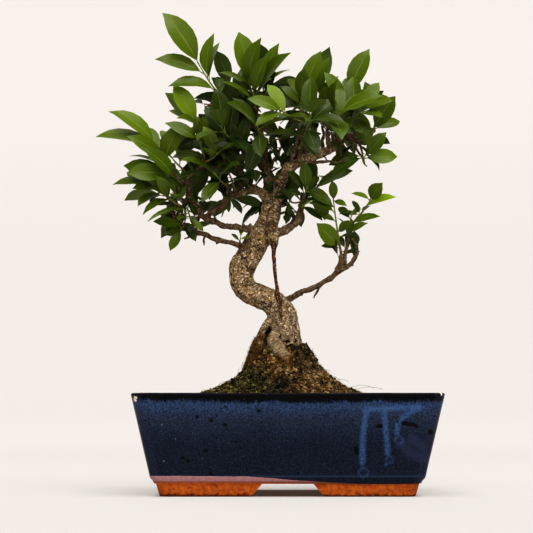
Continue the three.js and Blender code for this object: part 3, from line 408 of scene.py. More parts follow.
def pick_parts(piece, kind, test):
    """Selects those edges or faces of a mesh in edit mode that pass a test, and no others."""
    bpy.ops.mesh.select_all(action="DESELECT")
    edit = bmesh.from_edit_mesh(piece.data)
    for part in getattr(edit, kind):
        part.select_set(test(part))
    bmesh.update_edit_mesh(piece.data)


def face_outwards(inside=False):
    """Turns all faces of the mesh in edit mode one way, and leaves edit mode."""
    bpy.ops.mesh.select_all(action="SELECT")
    bpy.ops.mesh.normals_make_consistent(inside=inside)
    bpy.ops.object.mode_set(mode="OBJECT")


def settle(piece, name, slot, materials, *nodes):
    """Names a finished piece, applies its place, and lets it ride and stand for its packed nodes."""
    apply_place(piece)
    piece.name = name
    piece.data.name = name
    piece.data.materials.clear()
    for material in materials:
        piece.data.materials.append(material)
    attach(piece, "root")
    if nodes:
        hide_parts(*nodes)


def apply_modifier(piece, kind, **settings):
    """Adds a modifier with its settings and applies it."""
    pick_only(piece)
    modifier = piece.modifiers.new(kind.title(), kind)
    for key, value in settings.items():
        setattr(modifier, key, value)
    bpy.ops.object.modifier_apply(modifier=modifier.name)


def linked(name, data):
    """A new object in the scene."""
    piece = bpy.data.objects.new(name, data)
    bpy.context.scene.collection.objects.link(piece)
    return piece


def mesh_piece(name, points, faces):
    """An object from numpy points and a list of faces."""
    mesh = bpy.data.meshes.new(name)
    mesh.from_pydata([tuple(p) for p in points], [], faces)
    mesh.update()
    return linked(name, mesh)


def add_body(points, faces, made, quads):
    """Adds the points and faces of one small body to the lists of a piece."""
    first = len(points)
    points += list(made)
    faces += [tuple(first + i for i in quad) for quad in quads]


def read(parts, field, width=1):
    """One number or vector for each vertex or attribute value, as an array."""
    flat = np.zeros(len(parts) * width, np.float32)
    parts.foreach_get(field, flat)
    return flat.reshape(-1, width) if width > 1 else flat


def points_of(mesh):
    """The vertices of a mesh as an array."""
    return read(mesh.vertices, "co", 3).astype(float)


def put_points(mesh, points):
    """Moves the vertices of a mesh."""
    mesh.vertices.foreach_set("co", np.asarray(points, np.float32).ravel())
    mesh.update()


ATTRIBUTE_KINDS = {1: ("FLOAT", "value"), 3: ("FLOAT_VECTOR", "vector"), 4: ("FLOAT_COLOR", "color")}


def put_attribute(mesh, name, values, domain="POINT"):
    """Stores one number, vector or colour for each point or face."""
    values = np.asarray(values, np.float32)
    kind, field = ATTRIBUTE_KINDS[values.size // len(values)]
    mesh.attributes.new(name, kind, domain).data.foreach_set(field, values.ravel())


# ---- curves of the limbs


def unit(vector):
    return vector / np.linalg.norm(vector)


def units(vectors):
    return vectors / np.linalg.norm(vectors, axis=1)[:, None]


def along_limb(points, t):
    """A point of a limb's centre line, for t from 0 to 1 over its points."""
    points = [np.array(p, float) for p in points]
    last = len(points) - 1
    step = min(int(t * last), last - 1)
    share = t * last - step
    before = points[step - 1] if step > 0 else 2 * points[0] - points[1]
    after = points[step + 2] if step + 2 <= last else 2 * points[last] - points[last - 1]
    a, b = points[step], points[step + 1]
    leave, arrive = (b - before) / 2, (after - a) / 2
    bend = -3 * a + 3 * b - 2 * leave - arrive
    turn = 2 * a - 2 * b + leave + arrive
    return a + leave * share + bend * share**2 + turn * share**3


def radius_at(radii, t):
    """A limb's radius, for t from 0 to 1 over its points."""
    return float(np.interp(t * (len(radii) - 1), range(len(radii)), radii))


def traced(points, radii, spacing=2.0):
    """A limb's centre line and radii, sampled about every spacing millimetres."""
    rough = np.array([along_limb(points, t) for t in np.linspace(0, 1, 60)])
    length = np.linalg.norm(np.diff(rough, axis=0), axis=1).sum()
    shares = np.linspace(0, 1, max(3, int(length / spacing) + 1))
    line = np.array([along_limb(points, t) for t in shares])
    return line, np.array([radius_at(radii, t) for t in shares])


def bezier_line(start, middle, end, steps):
    """A quadratic curve through its start and end."""
    t = np.linspace(0, 1, steps + 1)[:, None]
    return (1 - t) ** 2 * start + 2 * t * (1 - t) * middle + t**2 * end


def frames_along(line):
    """Tangents, and two directions square to them that don't twist, along a line."""
    tangents = units(np.gradient(line, axis=0))
    side = np.cross(tangents[0], (0, 1, 0.01))
    sides = []
    for tangent in tangents:
        side = unit(side - tangent * (side @ tangent))
        sides.append(side)
    sides = np.array(sides)
    return tangents, sides, np.cross(tangents, sides)


def tube(line, radii, sides):
    """Points and faces of a closed round limb along a line, all in millimetres."""
    _, across, over = frames_along(line)
    angles = np.linspace(0, 2 * math.pi, sides, endpoint=False)
    ring = np.cos(angles)[None, :, None] * across[:, None] + np.sin(angles)[None, :, None] * over[:, None]
    points = (line[:, None] + ring * np.asarray(radii)[:, None, None]).reshape(-1, 3)
    faces = []
    for i in range(len(line) - 1):
        for j in range(sides):
            k = (j + 1) % sides
            faces.append((i * sides + j, i * sides + k, (i + 1) * sides + k, (i + 1) * sides + j))
    faces.append(tuple(range(sides))[::-1])
    faces.append(tuple(range((len(line) - 1) * sides, len(line) * sides)))
    return points, faces


def in_place(points):
    """Table millimetres to metres in the shared frame."""
    return np.asarray(points) * MM + np.array((POT_MIDDLE.x, POT_MIDDLE.y, 0))


def on_table(points):
    """Metres in the shared frame to table millimetres."""
    return (points - in_place(np.zeros(3))) / MM


def curve_piece(name, limbs, sides):
    """Round limbs drawn as one bevelled curve and turned into a mesh."""
    bpy.ops.object.select_all(action="DESELECT")
    bpy.ops.curve.primitive_nurbs_path_add()
    piece = bpy.context.object
    piece.name = name
    piece.location = (0, 0, 0)
    curve = piece.data
    curve.splines.clear()
    curve.bevel_depth = 1
    curve.bevel_resolution = sides // 4
    curve.use_fill_caps = True
    for line, radii in limbs:
        spline = curve.splines.new("POLY")
        spline.points.add(len(line) - 1)
        for point, at, radius in zip(spline.points, in_place(line), radii):
            point.co = (*at, 1)
            point.radius = radius * MM
    pick_only(piece)
    bpy.ops.object.convert(target="MESH")
    return bpy.context.object


# ---- materials


class Wiring:
    """Adds nodes to a node tree. Each call gives the new node's output, to feed into the next."""

    def __init__(self, tree):
        self.tree = tree

    def feed(self, socket, value):
        if isinstance(value, bpy.types.NodeSocket):
            self.tree.links.new(value, socket)
        elif value is not None:
            socket.default_value = (*value, 1) if socket.type == "RGBA" and len(value) == 3 else value

    def add(self, kind, inputs, output=0, **settings):
        node = self.tree.nodes.new(kind)
        for key, value in settings.items():
            setattr(node, key, value)
        for socket, value in inputs.items():
            self.feed(node.inputs[socket], value)
        return node.outputs[output]

    def math(self, operation, a, b=None, c=None):
        return self.add("ShaderNodeMath", {0: a, 1: b, 2: c}, operation=operation)

    def times(self, a, b):
        return self.math("MULTIPLY", a, b)

    def times_plus(self, a, b, c):
        return self.math("MULTIPLY_ADD", a, b, c)

    def larger(self, a, b):
        return self.math("MAXIMUM", a, b)

    def shaken(self, value, cloud, reach):
        """A value moved up and down by soft noise, half a reach either way."""
        return self.times_plus(self.math("SUBTRACT", cloud, 0.5), reach, value)

    def vectors(self, operation, a, b=None, output=0):
        return self.add("ShaderNodeVectorMath", {0: a, 1: b}, output, operation=operation)

    def position(self):
        """Object coordinates in millimetres from the middle of the pot."""
        coordinates = self.add("ShaderNodeTexCoord", {}, "Object")
        centre = (-POT_MIDDLE.x / MM, -POT_MIDDLE.y / MM, 0)
        return self.stretched(coordinates, (1 / MM,) * 3, centre)

    def attribute(self, name, output="Fac"):
        return self.add("ShaderNodeAttribute", {}, output, attribute_name=name)

    def parts(self, value, kind="ShaderNodeSeparateXYZ"):
        """The three parts of a vector, or of a colour."""
        node = self.tree.nodes.new(kind)
        self.feed(node.inputs[0], value)
        return node.outputs


    def stretched(self, vector, scale, shift=(0, 0, 0)):
        return self.add("ShaderNodeMapping", {"Vector": vector, "Scale": scale, "Location": shift})

    def noise(self, vector, size, detail=3.0, roughness=0.55, output=0):
        """Soft noise with lumps of about a size, in the units of its vector."""
        inputs = {"Vector": vector, "Scale": 1 / size, "Detail": detail, "Roughness": roughness}
        return self.add("ShaderNodeTexNoise", inputs, output)

    def cells(self, vector, size, feature="F1"):
        """Cells of about a size: the distance to their middle or edge."""
        inputs = {"Vector": vector, "Scale": 1 / size}
        return self.add("ShaderNodeTexVoronoi", inputs, "Distance", feature=feature)

    def blend(self, share, a, b):
        node = self.tree.nodes.new("ShaderNodeMix")
        node.data_type = "RGBA"
        node.clamp_factor = True
        for socket, value in ((0, share), (6, a), (7, b)):
            self.feed(node.inputs[socket], value)
        return node.outputs[2]

    def cover(self, colour, tone, share, strength):
        """A colour covered by a tone over a share of the surface, at a strength."""
        return self.blend(self.times(share, strength), colour, tone)

    def between(self, value, low, high, start=0.0, end=1.0):
        """start where value is below low, end where it is above high, and smooth in between."""
        return self.add("ShaderNodeMapRange",
                        {"Value": value, "From Min": low, "From Max": high, "To Min": start, "To Max": end},
                        interpolation_type="SMOOTHSTEP")

    def within(self, value, low, high, strength=1.0):
        """strength where value is below low, and none where it is above high."""
        return self.between(value, low, high, strength, 0.0)

    def dress(self, colour, relief, depth, roughness=None, strength=1.0):
        """Feeds the material's shader its colour, its roughness, and its relief of a depth in metres."""
        shader = self.tree.nodes["Principled BSDF"]
        bump = self.add("ShaderNodeBump", {"Height": relief, "Distance": depth, "Strength": strength})
        self.feed(shader.inputs["Base Color"], colour)
        self.feed(shader.inputs["Roughness"], roughness)
        self.feed(shader.inputs["Normal"], bump)


def new_finish(name, roughness, specular=0.5):
    """A material, the wiring that adds nodes to it, and the node of the places on the piece."""
    material = bpy.data.materials.new(name)
    material.use_nodes = True
    shader = material.node_tree.nodes["Principled BSDF"]
    shader.inputs["Roughness"].default_value = roughness
    shader.inputs["Specular IOR Level"].default_value = specular
    wires = Wiring(material.node_tree)
    return material, wires, wires.position()


def speckle_group():
    """A node group that scatters soft dots of a size over a share of the surface."""
    name = "Speckle"
    if name in bpy.data.node_groups:
        return bpy.data.node_groups[name]
    tree = bpy.data.node_groups.new(name, "ShaderNodeTree")
    tree.interface.new_socket(name="Vector", in_out="INPUT", socket_type="NodeSocketVector")
    for socket, value in (("Scale", 1.0), ("Share", 0.3), ("Radius", 0.3)):
        made = tree.interface.new_socket(name=socket, in_out="INPUT", socket_type="NodeSocketFloat")
        made.default_value = value
    tree.interface.new_socket(name="Mask", in_out="OUTPUT", socket_type="NodeSocketFloat")
    entry = tree.nodes.new("NodeGroupInput")
    leave = tree.nodes.new("NodeGroupOutput")
    wires = Wiring(tree)
    dots = tree.nodes.new("ShaderNodeTexVoronoi")
    wires.feed(dots.inputs["Vector"], entry.outputs["Vector"])
    wires.feed(dots.inputs["Scale"], entry.outputs["Scale"])
    draw = wires.parts(dots.outputs["Color"])[0]
    chosen = wires.math("LESS_THAN", draw, entry.outputs["Share"])
    inner = wires.times(entry.outputs["Radius"], 0.6)
    round_dot = wires.within(dots.outputs["Distance"], inner, entry.outputs["Radius"])
    wires.feed(leave.inputs["Mask"], wires.times(chosen, round_dot))
    return tree


def speckle(wires, vector, size, share, radius=0.3):
    """Places the speckle group: dots in cells of a size, in a share of the cells."""
    node = wires.tree.nodes.new("ShaderNodeGroup")
    node.node_tree = speckle_group()
    wires.feed(node.inputs["Vector"], vector)
    for socket, value in (("Scale", 1 / size), ("Share", share), ("Radius", radius)):
        node.inputs[socket].default_value = value
    return node.outputs["Mask"]


def from_lines(x, z, lines):
    """Distance of each place on a wall to the nearest of some bent lines."""
    nearest = np.full(len(x), 1e3)
    for line in lines:
        for start, end in zip(line, line[1:] or line):
            away = np.stack([x - start[0], z - start[1]], 1)
            span = np.subtract(end, start).astype(float)
            share = np.clip(away @ span / max(span @ span, 1e-9), 0, 1)
            nearest = np.minimum(nearest, np.linalg.norm(away - share[:, None] * span, axis=1))
    return nearest


# ---- pot

# On a long wall, in millimetres (across, height): the runs of pale glaze as (half width, line), the ring at
# the foot of each as (across, height, radius), and the scars, pinholes and pale dots of the glaze.
RUN_LINES = [
    (3.1, [(69.5, 78), (68.2, 69), (66.8, 56), (66.3, 42), (66.3, 31)]),
    (2.9, [(85.5, 78), (85.8, 72), (86.8, 59), (88.3, 46.5), (88.8, 39)]),
    (2.7, [(117, 79.5), (106, 73.5), (100.5, 69.5), (97.3, 64.5), (96.6, 57)]),
    (2.6, [(70, 78), (92, 79), (117, 80)]),
]
RUN_DROPS = [(67.3, 21.8, 4.1), (90.4, 33.1, 3.2), (98.6, 50.6, 3.6)]
RUN_TAILS = [[(67.3, 17.5), (67.3, 15)], [(88, 30), (85.8, 27.5)]]
SCARS = [[(102, 65.8), (107, 64.4)], [(108, 64.8), (114, 63)], [(79.6, 63), (82.7, 62.8)],
         [(126, 58.5), (127, 57.5)], [(60.5, 43.6), (61.3, 38.5)]]
PINHOLES = [(-80, 71.3), (-68.5, 67.7), (-56, 64.1), (-73, 41), (-93.5, 34.7), (-89, 32), (-68.5, 20.5),
            (-25.7, 76.6)]
PALE_DOTS = [(-112, 64), (-84.5, 57), (-99.7, 51.6), (-76.5, 34.7), (-110, 32)]
SMEAR = [[(102, 46.5), (110.4, 38.5), (121, 34.5)], [(110, 52), (120, 44)]]
# Painted glints on the rim as (across, depth, height, radius) in millimetres: pale spots where the lights
# shine on its corners and its front.
PAINTED_GLINTS = [(-135.6, -96.5, 87.0, 2.6), (135.4, -96.0, 92.0, 2.0), (-3.0, -99.6, 92.4, 0.9)]


def glaze_finish(settings):
    """Navy glaze: black at the rim, a speckled blue band under it, runs, pinholes, and bare clay below."""
    material, wires, at = new_finish("Glaze", 0.14, 0.16)
    x, _, z = wires.parts(at)
    cloud = wires.noise(at, 26.0, 4.0, 0.6)
    grain = wires.noise(at, 1.5, 4.0, 0.8)
    streak = wires.noise(wires.stretched(at, (1.0, 1.0, 0.16)), 1.3, 4.0, 0.75)
    speckled = wires.between(grain, 0.38, 0.64)
    fine = wires.between(wires.noise(at, 0.8, 2.0, 0.6), 0.44, 0.60)
    run_away, drop_away, smear_away = wires.parts(wires.attribute("drawn", "Vector"))
    pit_away, dot_away, glint_away = wires.parts(wires.attribute("marks", "Vector"))
    shake = wires.math("SUBTRACT", wires.noise(at, 2.4, 3.0, 0.65), 0.5)

    # The band starts under the black edge of the rim in small upright streaks, and fades out downwards.
    wobble = wires.shaken(z, cloud, 10.0)
    top = wires.shaken(wobble, streak, 11.0)
    under_rim = wires.within(top, 83.0, 86.5)
    fading = wires.math("POWER", wires.between(wobble, 38.0, 84.0), 1.3)
    band = wires.times(under_rim, fading)
    bright = wires.between(top, 68.0, 84.0)
    band = wires.times(band, wires.times_plus(speckled, 0.85, 0.15))

    runs = wires.within(wires.times_plus(shake, 5.0, run_away), -2.2, 1.0)
    drops = wires.within(wires.times_plus(shake, 3.0, drop_away), 0.2, 1.9, 0.55)
    broken = wires.larger(wires.times(fine, 0.85), wires.times_plus(speckled, 0.5, 0.25))
    runs = wires.times(wires.larger(runs, drops), broken)

    deep = wires.blend(cloud, settings.glaze, (0.0085, 0.0140, 0.0280))
    deep = wires.cover(deep, (0.050, 0.070, 0.120), wires.times(speckled, fine), 0.60)
    deep = wires.blend(wires.between(top, 83.5, 87.0), deep, (0.0012, 0.0018, 0.0035))
    colour = wires.blend(band, deep, wires.blend(bright, (0.050, 0.074, 0.130), settings.band))
    # A painted highlight: a paler band down the wall a little in from each rounded corner, where the rounding
    # catches the light.
    rim = POT_LEVELS["rim"]
    lean = WALL_FLARE / (rim - POT_LEVELS["edge"])
    corner = wires.math("ADD", wires.times(wires.math("ABSOLUTE", x), -1.0),
                        wires.times_plus(z, lean, POT_HALF[0] - lean * rim))
    corner_highlight = wires.times(wires.between(corner, 1.5, 4.5), wires.between(corner, 12.0, 7.0))
    colour = wires.cover(colour, (0.045, 0.045, 0.10), corner_highlight, 0.25)
    smear = wires.within(wires.times_plus(shake, 5.0, smear_away), 1.0, 8.0, 0.55)
    colour = wires.blend(smear, colour, (0.040, 0.048, 0.100))
    colour = wires.cover(colour, (0.080, 0.165, 0.36), runs, 0.9)

    pits = speckle(wires, at, 8.0, 0.34, 0.13)
    pits = wires.larger(pits, wires.within(wires.times_plus(shake, 1.6, pit_away), 1.4, 2.6))
    colour = wires.cover(colour, (0.001, 0.0015, 0.003), pits, 0.9)
    dots = wires.times(speckle(wires, wires.stretched(at, (1.0, 1.0, 1.03)), 6.5, 0.10, 0.08), 0.5)
    dots = wires.larger(dots, wires.within(dot_away, 0.7, 1.5, 0.75))
    colour = wires.blend(dots, colour, (0.14, 0.20, 0.27))

    # The rim's rounded top turns to a thin grey line. Pale painted glints sit at its corners and at its
    # front, where the lights shine on it.
    rim_top = wires.shaken(z, wires.noise(at, 9.0, 4.0), 2.2)
    colour = wires.blend(wires.between(rim_top, 92.0, 93.0, 0.0, 0.75), colour, (0.10, 0.085, 0.08))
    painted_glints = wires.within(wires.times_plus(shake, 2.6, glint_away), 0.8, 1.1)
    colour = wires.blend(painted_glints, colour, (0.80, 0.70, 0.62))

    # The lower edge is a thin mauve skin, widest on the left, and the feet are bare clay.
    edge = wires.shaken(z, cloud, 2.0)
    seam = wires.between(x, -60.0, 75.0, 18.6, 11.6)
    mauve = wires.math("LESS_THAN", edge, seam)
    seam_light = wires.within(wires.math("ABSOLUTE", wires.math("SUBTRACT", z, 18.4)), 0.2, 1.2, 0.45)
    colour = wires.blend(seam_light, colour, (0.045, 0.085, 0.15))
    bare = wires.math("LESS_THAN", wires.shaken(z, grain, 1.0),
                      wires.between(x, -60.0, 75.0, 12.6, 11.3))
    mauve_tone = wires.blend(wires.noise(at, 3.0, 3.0), settings.mauve, (0.33, 0.155, 0.160))
    mauve_tone = wires.blend(wires.between(z, 15.0, 12.5), mauve_tone, (0.22, 0.075, 0.045))
    colour = wires.blend(mauve, colour, mauve_tone)
    fired = wires.between(wires.noise(at, 4.0, 5.0, 0.7), 0.35, 0.65)
    clay = wires.blend(fired, settings.clay, (0.36, 0.078, 0.013))
    clay = wires.cover(clay, (0.02, 0.008, 0.005), speckle(wires, at, 3.2, 0.16, 0.22), 0.85)
    # The clay is darker along the bottom of the feet.
    feet_bottom = wires.times_plus(wires.noise(at, 4.0, 4.0, 0.75), -9.0, z)
    clay = wires.blend(wires.within(feet_bottom, -3.8, -1.6, 0.85), clay, (0.05, 0.016, 0.008))
    inside = wires.math("LESS_THAN", z, 84.0)
    unglazed = wires.larger(bare, wires.times(wires.attribute("shell"), inside))
    colour = wires.blend(unglazed, colour, clay)

    dull = wires.larger(wires.larger(mauve, painted_glints), unglazed)
    gloss = wires.times_plus(speckled, 0.12, 0.12)
    relief = wires.times_plus(runs, 0.5, wires.times(cloud, 0.8))
    relief = wires.math("SUBTRACT", relief, pits)
    relief = wires.times_plus(grain, wires.times_plus(dull, 0.3, 0.05), relief)
    wires.dress(colour, relief, 0.6 * MM, wires.larger(gloss, wires.times(dull, 0.62)))
    return material


def plastic_finish():
    """Dull black plastic of the drain mesh, with dust."""
    material, wires, at = new_finish("Drain mesh", 0.6)
    dust = wires.noise(at, 3.0, 4.0)
    wires.dress(wires.blend(dust, (0.008, 0.008, 0.008), (0.05, 0.04, 0.03)), dust, 0.2 * MM)
    return material


def level_up(low, high):
    """Extrudes the selected face from one level to another, each a height and an inset from the rim."""
    (low_z, low_inset), (z, inset) = low, high
    shares = [(half - inset) / (half - low_inset) for half in POT_HALF]
    bpy.ops.mesh.extrude_region_move(TRANSFORM_OT_translate={"value": (0, 0, (z - low_z) * MM)})
    bpy.ops.transform.resize(value=(*shares, 1), center_override=place(0, 0, z))
    return high


def rounded_plate(z, inset, corner):
    """A flat face with round corners, left selected in edit mode."""
    half_x, half_y = ((half - inset) * MM for half in POT_HALF)
    piece = primitive("plane", (half_x, half_y, 1), size=2, location=place(0, 0, z))
    bpy.ops.object.mode_set(mode="EDIT")
    bpy.ops.mesh.select_all(action="SELECT")
    bpy.ops.mesh.bevel(offset=corner * MM, offset_type="OFFSET", segments=CORNER_STEPS, affect="VERTICES")
    bpy.ops.mesh.select_all(action="SELECT")
    return piece


def pot_body(settings):
    """The pot's shell: a rounded plate raised level by level, over the rim and down to the inner floor."""
    foot, edge, floor, rim, top = POT_LEVELS.values()
    wall = settings.wall / MM
    low, high = edge + 0.6, rim
    levels = [(edge - 3, WALL_FLARE + 2.6), (edge - 1.2, WALL_FLARE + 1.0)]
    for share in np.linspace(0, 1, WALL_STEPS + 1):
        levels.append((low + (high - low) * share, WALL_FLARE * (1 - share)))
    levels += [(rim + 1.2, 0.35), (top - 0.35, 1.0), (top, 2.0), (top, wall - 2), (top - 0.35, wall - 1)]
    levels += [(top - 1.2, wall - 0.35), (rim, wall)]
    for share in np.linspace(0, 1, INNER_STEPS + 1)[1:]:
        levels.append((rim + (floor - rim) * share, wall + (FOOT_INSET - 1) * share))
    now = (foot, FOOT_INSET - 1.5)
    piece = rounded_plate(*now, POT_CORNER - 1)
    for level in levels:
        now = level_up(now, level)
    for axis, cuts in enumerate(WALL_CUTS):
        pick_parts(piece, "edges", lambda part: abs(part.verts[0].co[axis] - part.verts[1].co[axis]) > 0.1)
        bpy.ops.mesh.subdivide(number_cuts=cuts)
    face_outwards()
    return piece


def cut_with(piece, tool, operation="DIFFERENCE"):
    """Cuts or joins one solid with another, and removes the tool."""
    apply_modifier(piece, "BOOLEAN", operation=operation, solver="EXACT", object=tool)
    bpy.data.objects.remove(tool)


def wedge(gap, length, along_x):
    """The prism cut away between two feet: a cube whose top is narrowed."""
    top, bottom = gap
    height = POT_LEVELS["foot"] + 1
    size = (length, bottom, height) if along_x else (bottom, length, height)
    piece = primitive("cube", [s * MM for s in size], size=1, location=place(0, 0, height / 2 - 1))
    share = top / bottom
    bpy.ops.object.mode_set(mode="EDIT")
    pick_parts(piece, "faces", lambda face: face.normal.z > 0.9)
    bpy.ops.transform.resize(value=(1, share, 1) if along_x else (share, 1, 1),
                             center_override=place(0, 0, height - 1))
    bpy.ops.object.mode_set(mode="OBJECT")
    return piece


def pot_feet():
    """A tapered ring under the pot, cut through at the middle of each side."""
    half_x, half_y = POT_HALF
    foot = POT_LEVELS["foot"]
    now = (0, FOOT_INSET + FOOT_TAPER)
    ring = rounded_plate(*now, POT_CORNER)
    for level in ((1.2, now[1] - 0.9), (foot + 1, FOOT_INSET)):
        now = level_up(now, level)
    face_outwards()
    under = (-1, FOOT_INSET + FOOT_RING)
    core = rounded_plate(*under, 5)
    level_up(under, (foot, under[1]))
    face_outwards()
    cut_with(ring, core)
    cut_with(ring, wedge(FRONT_GAP, 2 * half_y, False))
    cut_with(ring, wedge(SIDE_GAP, 2 * half_x, True))
    return ring


def draw_glaze(mesh):
    """Stores how far each point of the long walls is from the runs, drops, smear, pits and dots, and how near
    it is to the painted glints on the rim.
    """
    points = on_table(points_of(mesh))
    x, y, z = points.T
    across = np.where(y > 0, -x, x)
    off_wall = np.where(np.abs(y) > 78, 0, 50)
    runs = np.min([from_lines(across, z, [line]) - half for half, line in RUN_LINES], axis=0)
    runs = np.minimum(runs, from_lines(across, z, RUN_TAILS) - 0.8)
    drops = np.min([np.abs(np.hypot(across - cx, z - cz) - radius) for cx, cz, radius in RUN_DROPS], axis=0)
    smear = from_lines(across, z, SMEAR)
    pits = from_lines(across, z, SCARS + [[point] for point in PINHOLES])
    dots = from_lines(across, z, [[point] for point in PALE_DOTS])
    painted_glints = np.min([np.linalg.norm(points - glint[:3], axis=1) / glint[3] for glint in PAINTED_GLINTS], axis=0)
    put_attribute(mesh, "drawn", np.stack([runs + off_wall, drops + off_wall, smear + off_wall], 1))
    put_attribute(mesh, "marks", np.stack([pits + off_wall, dots + off_wall, painted_glints], 1))


def mark_inside(mesh):
    """Marks the inner walls and floor, which carry no glaze below the rim."""
    inner = []
    for face in mesh.polygons:
        centre = (face.center - place(0, 0, 0)) / MM
        outward = face.normal.x * centre.x / POT_HALF[0] + face.normal.y * centre.y / POT_HALF[1]
        floor = face.normal.z > 0.5 and centre.z < POT_LEVELS["rim"] - 1
        inner.append(1.0 if outward < -0.1 and centre.z > POT_LEVELS["edge"] or floor else 0.0)
    put_attribute(mesh, "shell", inner, "FACE")


class BONSAI_OT_throw_pot(bpy.types.Operator):
    """Model the glazed pot with its rim, feet and drain holes"""

    bl_idname = "bonsai.throw_pot"
    bl_label = "Throw Pot"

    def execute(self, context):
        settings = context.scene.bonsai_pot
        pot = pot_body(settings)
        feet = pot_feet()
        wander = bpy.data.textures.new("Wander", "CLOUDS")
        wander.noise_scale = 0.07
        apply_modifier(pot, "DISPLACE", texture=wander, texture_coords="LOCAL", strength=settings.waviness,
                       mid_level=1.0)
        cut_with(pot, feet, "UNION")
        for x in DRAIN_HOLES:
            cut_with(pot, primitive("cylinder", vertices=40, radius=DRAIN_RADIUS * MM, depth=40 * MM,
                                    location=place(x, 0, POT_LEVELS["foot"])))
        settle(pot, "glazed_pot", "glaze", [glaze_finish(settings)], "pot")
        pick_only(pot)
        bpy.ops.object.shade_smooth_by_angle(angle=POT_CREASE)
        mark_inside(pot.data)
        draw_glaze(pot.data)
        for name in ("drain_mesh_left", "drain_mesh_right"):
            node = frame["nodes"][name]
            node.data.materials.clear()
            node.data.materials.append(plastic_finish())
        return {"FINISHED"}


# ---- wood


def bark_finish(settings):
    """Tan bark with pale cork flecks across each limb and dark crevices, redder on the aerial root."""
    material, wires, at = new_finish("Bark", 0.8, 0.25)
    limb = wires.stretched(wires.attribute("unbent", "Vector"), (1e3,) * 3)
    girth = wires.times(wires.attribute("girth"), 1000.0)
    red, ringed, hollow_shade_and_lichen = wires.parts(wires.attribute("kinds", "Vector"))
    mossy = wires.attribute("mossy")
    z = wires.parts(at)[2]

    warp = wires.noise(limb, 4.5, 3.0, output="Color")
    bent = wires.vectors("ADD", limb, wires.stretched(warp, (3.4, 3.4, 3.4)))
    dashes = wires.cells(wires.stretched(bent, (1.0, 0.32, 0.32)), 1.25)
    flecks = wires.within(dashes, 0.26, 0.42)
    small = wires.cells(wires.stretched(bent, (1.0, 0.45, 0.45)), 0.8)
    flecks = wires.larger(flecks, wires.within(small, 0.20, 0.42, 0.75))
    strength = wires.between(wires.noise(bent, 4.0, 4.0, 0.7), 0.36, 0.52)
    flecks = wires.times(flecks, strength)
    crevices = wires.cells(wires.stretched(bent, (0.5, 1.0, 1.0)), 3.0, "DISTANCE_TO_EDGE")
    crevices = wires.within(crevices, 0.02, 0.17)
    deep = wires.between(wires.noise(at, 5.0, 5.0, 0.7), 0.58, 0.70)

    tone = wires.noise(at, 3.2, 5.0, 0.7)
    colour = wires.blend(wires.between(tone, 0.34, 0.62), settings.dark, settings.bark)
    warm = wires.between(wires.noise(at, 17.0, 2.0), 0.4, 0.7)
    colour = wires.cover(colour, (0.34, 0.195, 0.060), warm, 0.45)
    colour = wires.cover(colour, (0.36, 0.29, 0.23), wires.between(z, 178.0, 158.0), 0.3)
    stains = wires.between(wires.noise(at, 13.0, 4.0, 0.65), 0.50, 0.62)
    for share, strength in ((crevices, 0.5), (deep, 0.75), (stains, 0.72)):
        colour = wires.cover(colour, settings.dark, share, strength)
    shown = wires.times(wires.times_plus(stains, -0.25, 0.97), flecks)
    colour = wires.blend(shown, colour, settings.fleck)
    thin = wires.between(girth, 6.2, 3.6)
    spots = wires.between(wires.noise(bent, 2.6, 4.0, 0.7), 0.35, 0.65)
    slim = wires.blend(spots, settings.twig, (0.055, 0.030, 0.014))
    slim = wires.cover(slim, (0.55, 0.44, 0.31), flecks, 0.30)
    slim = wires.blend(wires.between(girth, 4.6, 3.2, 0.0, 0.62), slim, (0.052, 0.027, 0.013))
    colour = wires.cover(colour, slim, thin, 0.85)
    bits = wires.between(wires.noise(limb, 1.6, 3.0), 0.54, 0.64)
    rust = wires.blend(bits, (0.075, 0.027, 0.016), (0.58, 0.32, 0.18))
    colour = wires.cover(colour, rust, red, 0.9)

    # The knee root is pale with dark rings across it.
    rings = wires.noise(wires.stretched(limb, (1.0, 0.16, 0.16)), 1.2, 3.0, 0.7)
    knee = wires.blend(wires.between(rings, 0.36, 0.62), (0.10, 0.060, 0.028), (0.54, 0.41, 0.24))
    colour = wires.cover(colour, knee, ringed, 0.85)
    bits_of_peat = wires.between(wires.noise(at, 1.3, 5.0, 0.8), 0.40, 0.62)
    peat = wires.blend(bits_of_peat, (0.022, 0.012, 0.004), (0.43, 0.235, 0.075))
    cover = wires.between(wires.shaken(mossy, tone, 1.3), 0.3, 0.7)
    colour = wires.blend(cover, colour, peat)
    # Painted shade darkens the hollows and crevices, and a mark under zero paints the spot of lichen.
    hollow_shade_and_lichen = wires.shaken(hollow_shade_and_lichen, wires.noise(at, 3.0, 4.0, 0.7), 1.6)
    colour = wires.blend(wires.between(hollow_shade_and_lichen, 0.2, 0.9, 0.0, 0.95), colour, (0.010, 0.006, 0.004))
    colour = wires.blend(wires.between(hollow_shade_and_lichen, -0.5, -0.9, 0.0, 0.6), colour, (0.42, 0.32, 0.05))

    height = wires.times_plus(flecks, 0.45, wires.times(tone, 1.2))
    height = wires.math("SUBTRACT", height, wires.times(wires.larger(crevices, deep), 0.8))
    height = wires.times_plus(wires.noise(at, 0.7, 3.0, 0.7), 0.4, height)
    height = wires.times_plus(rings, wires.times(ringed, 1.2), height)
    wires.dress(colour, height, 0.8 * MM, wires.times_plus(flecks, -0.12, 0.84), 0.9)
    return material


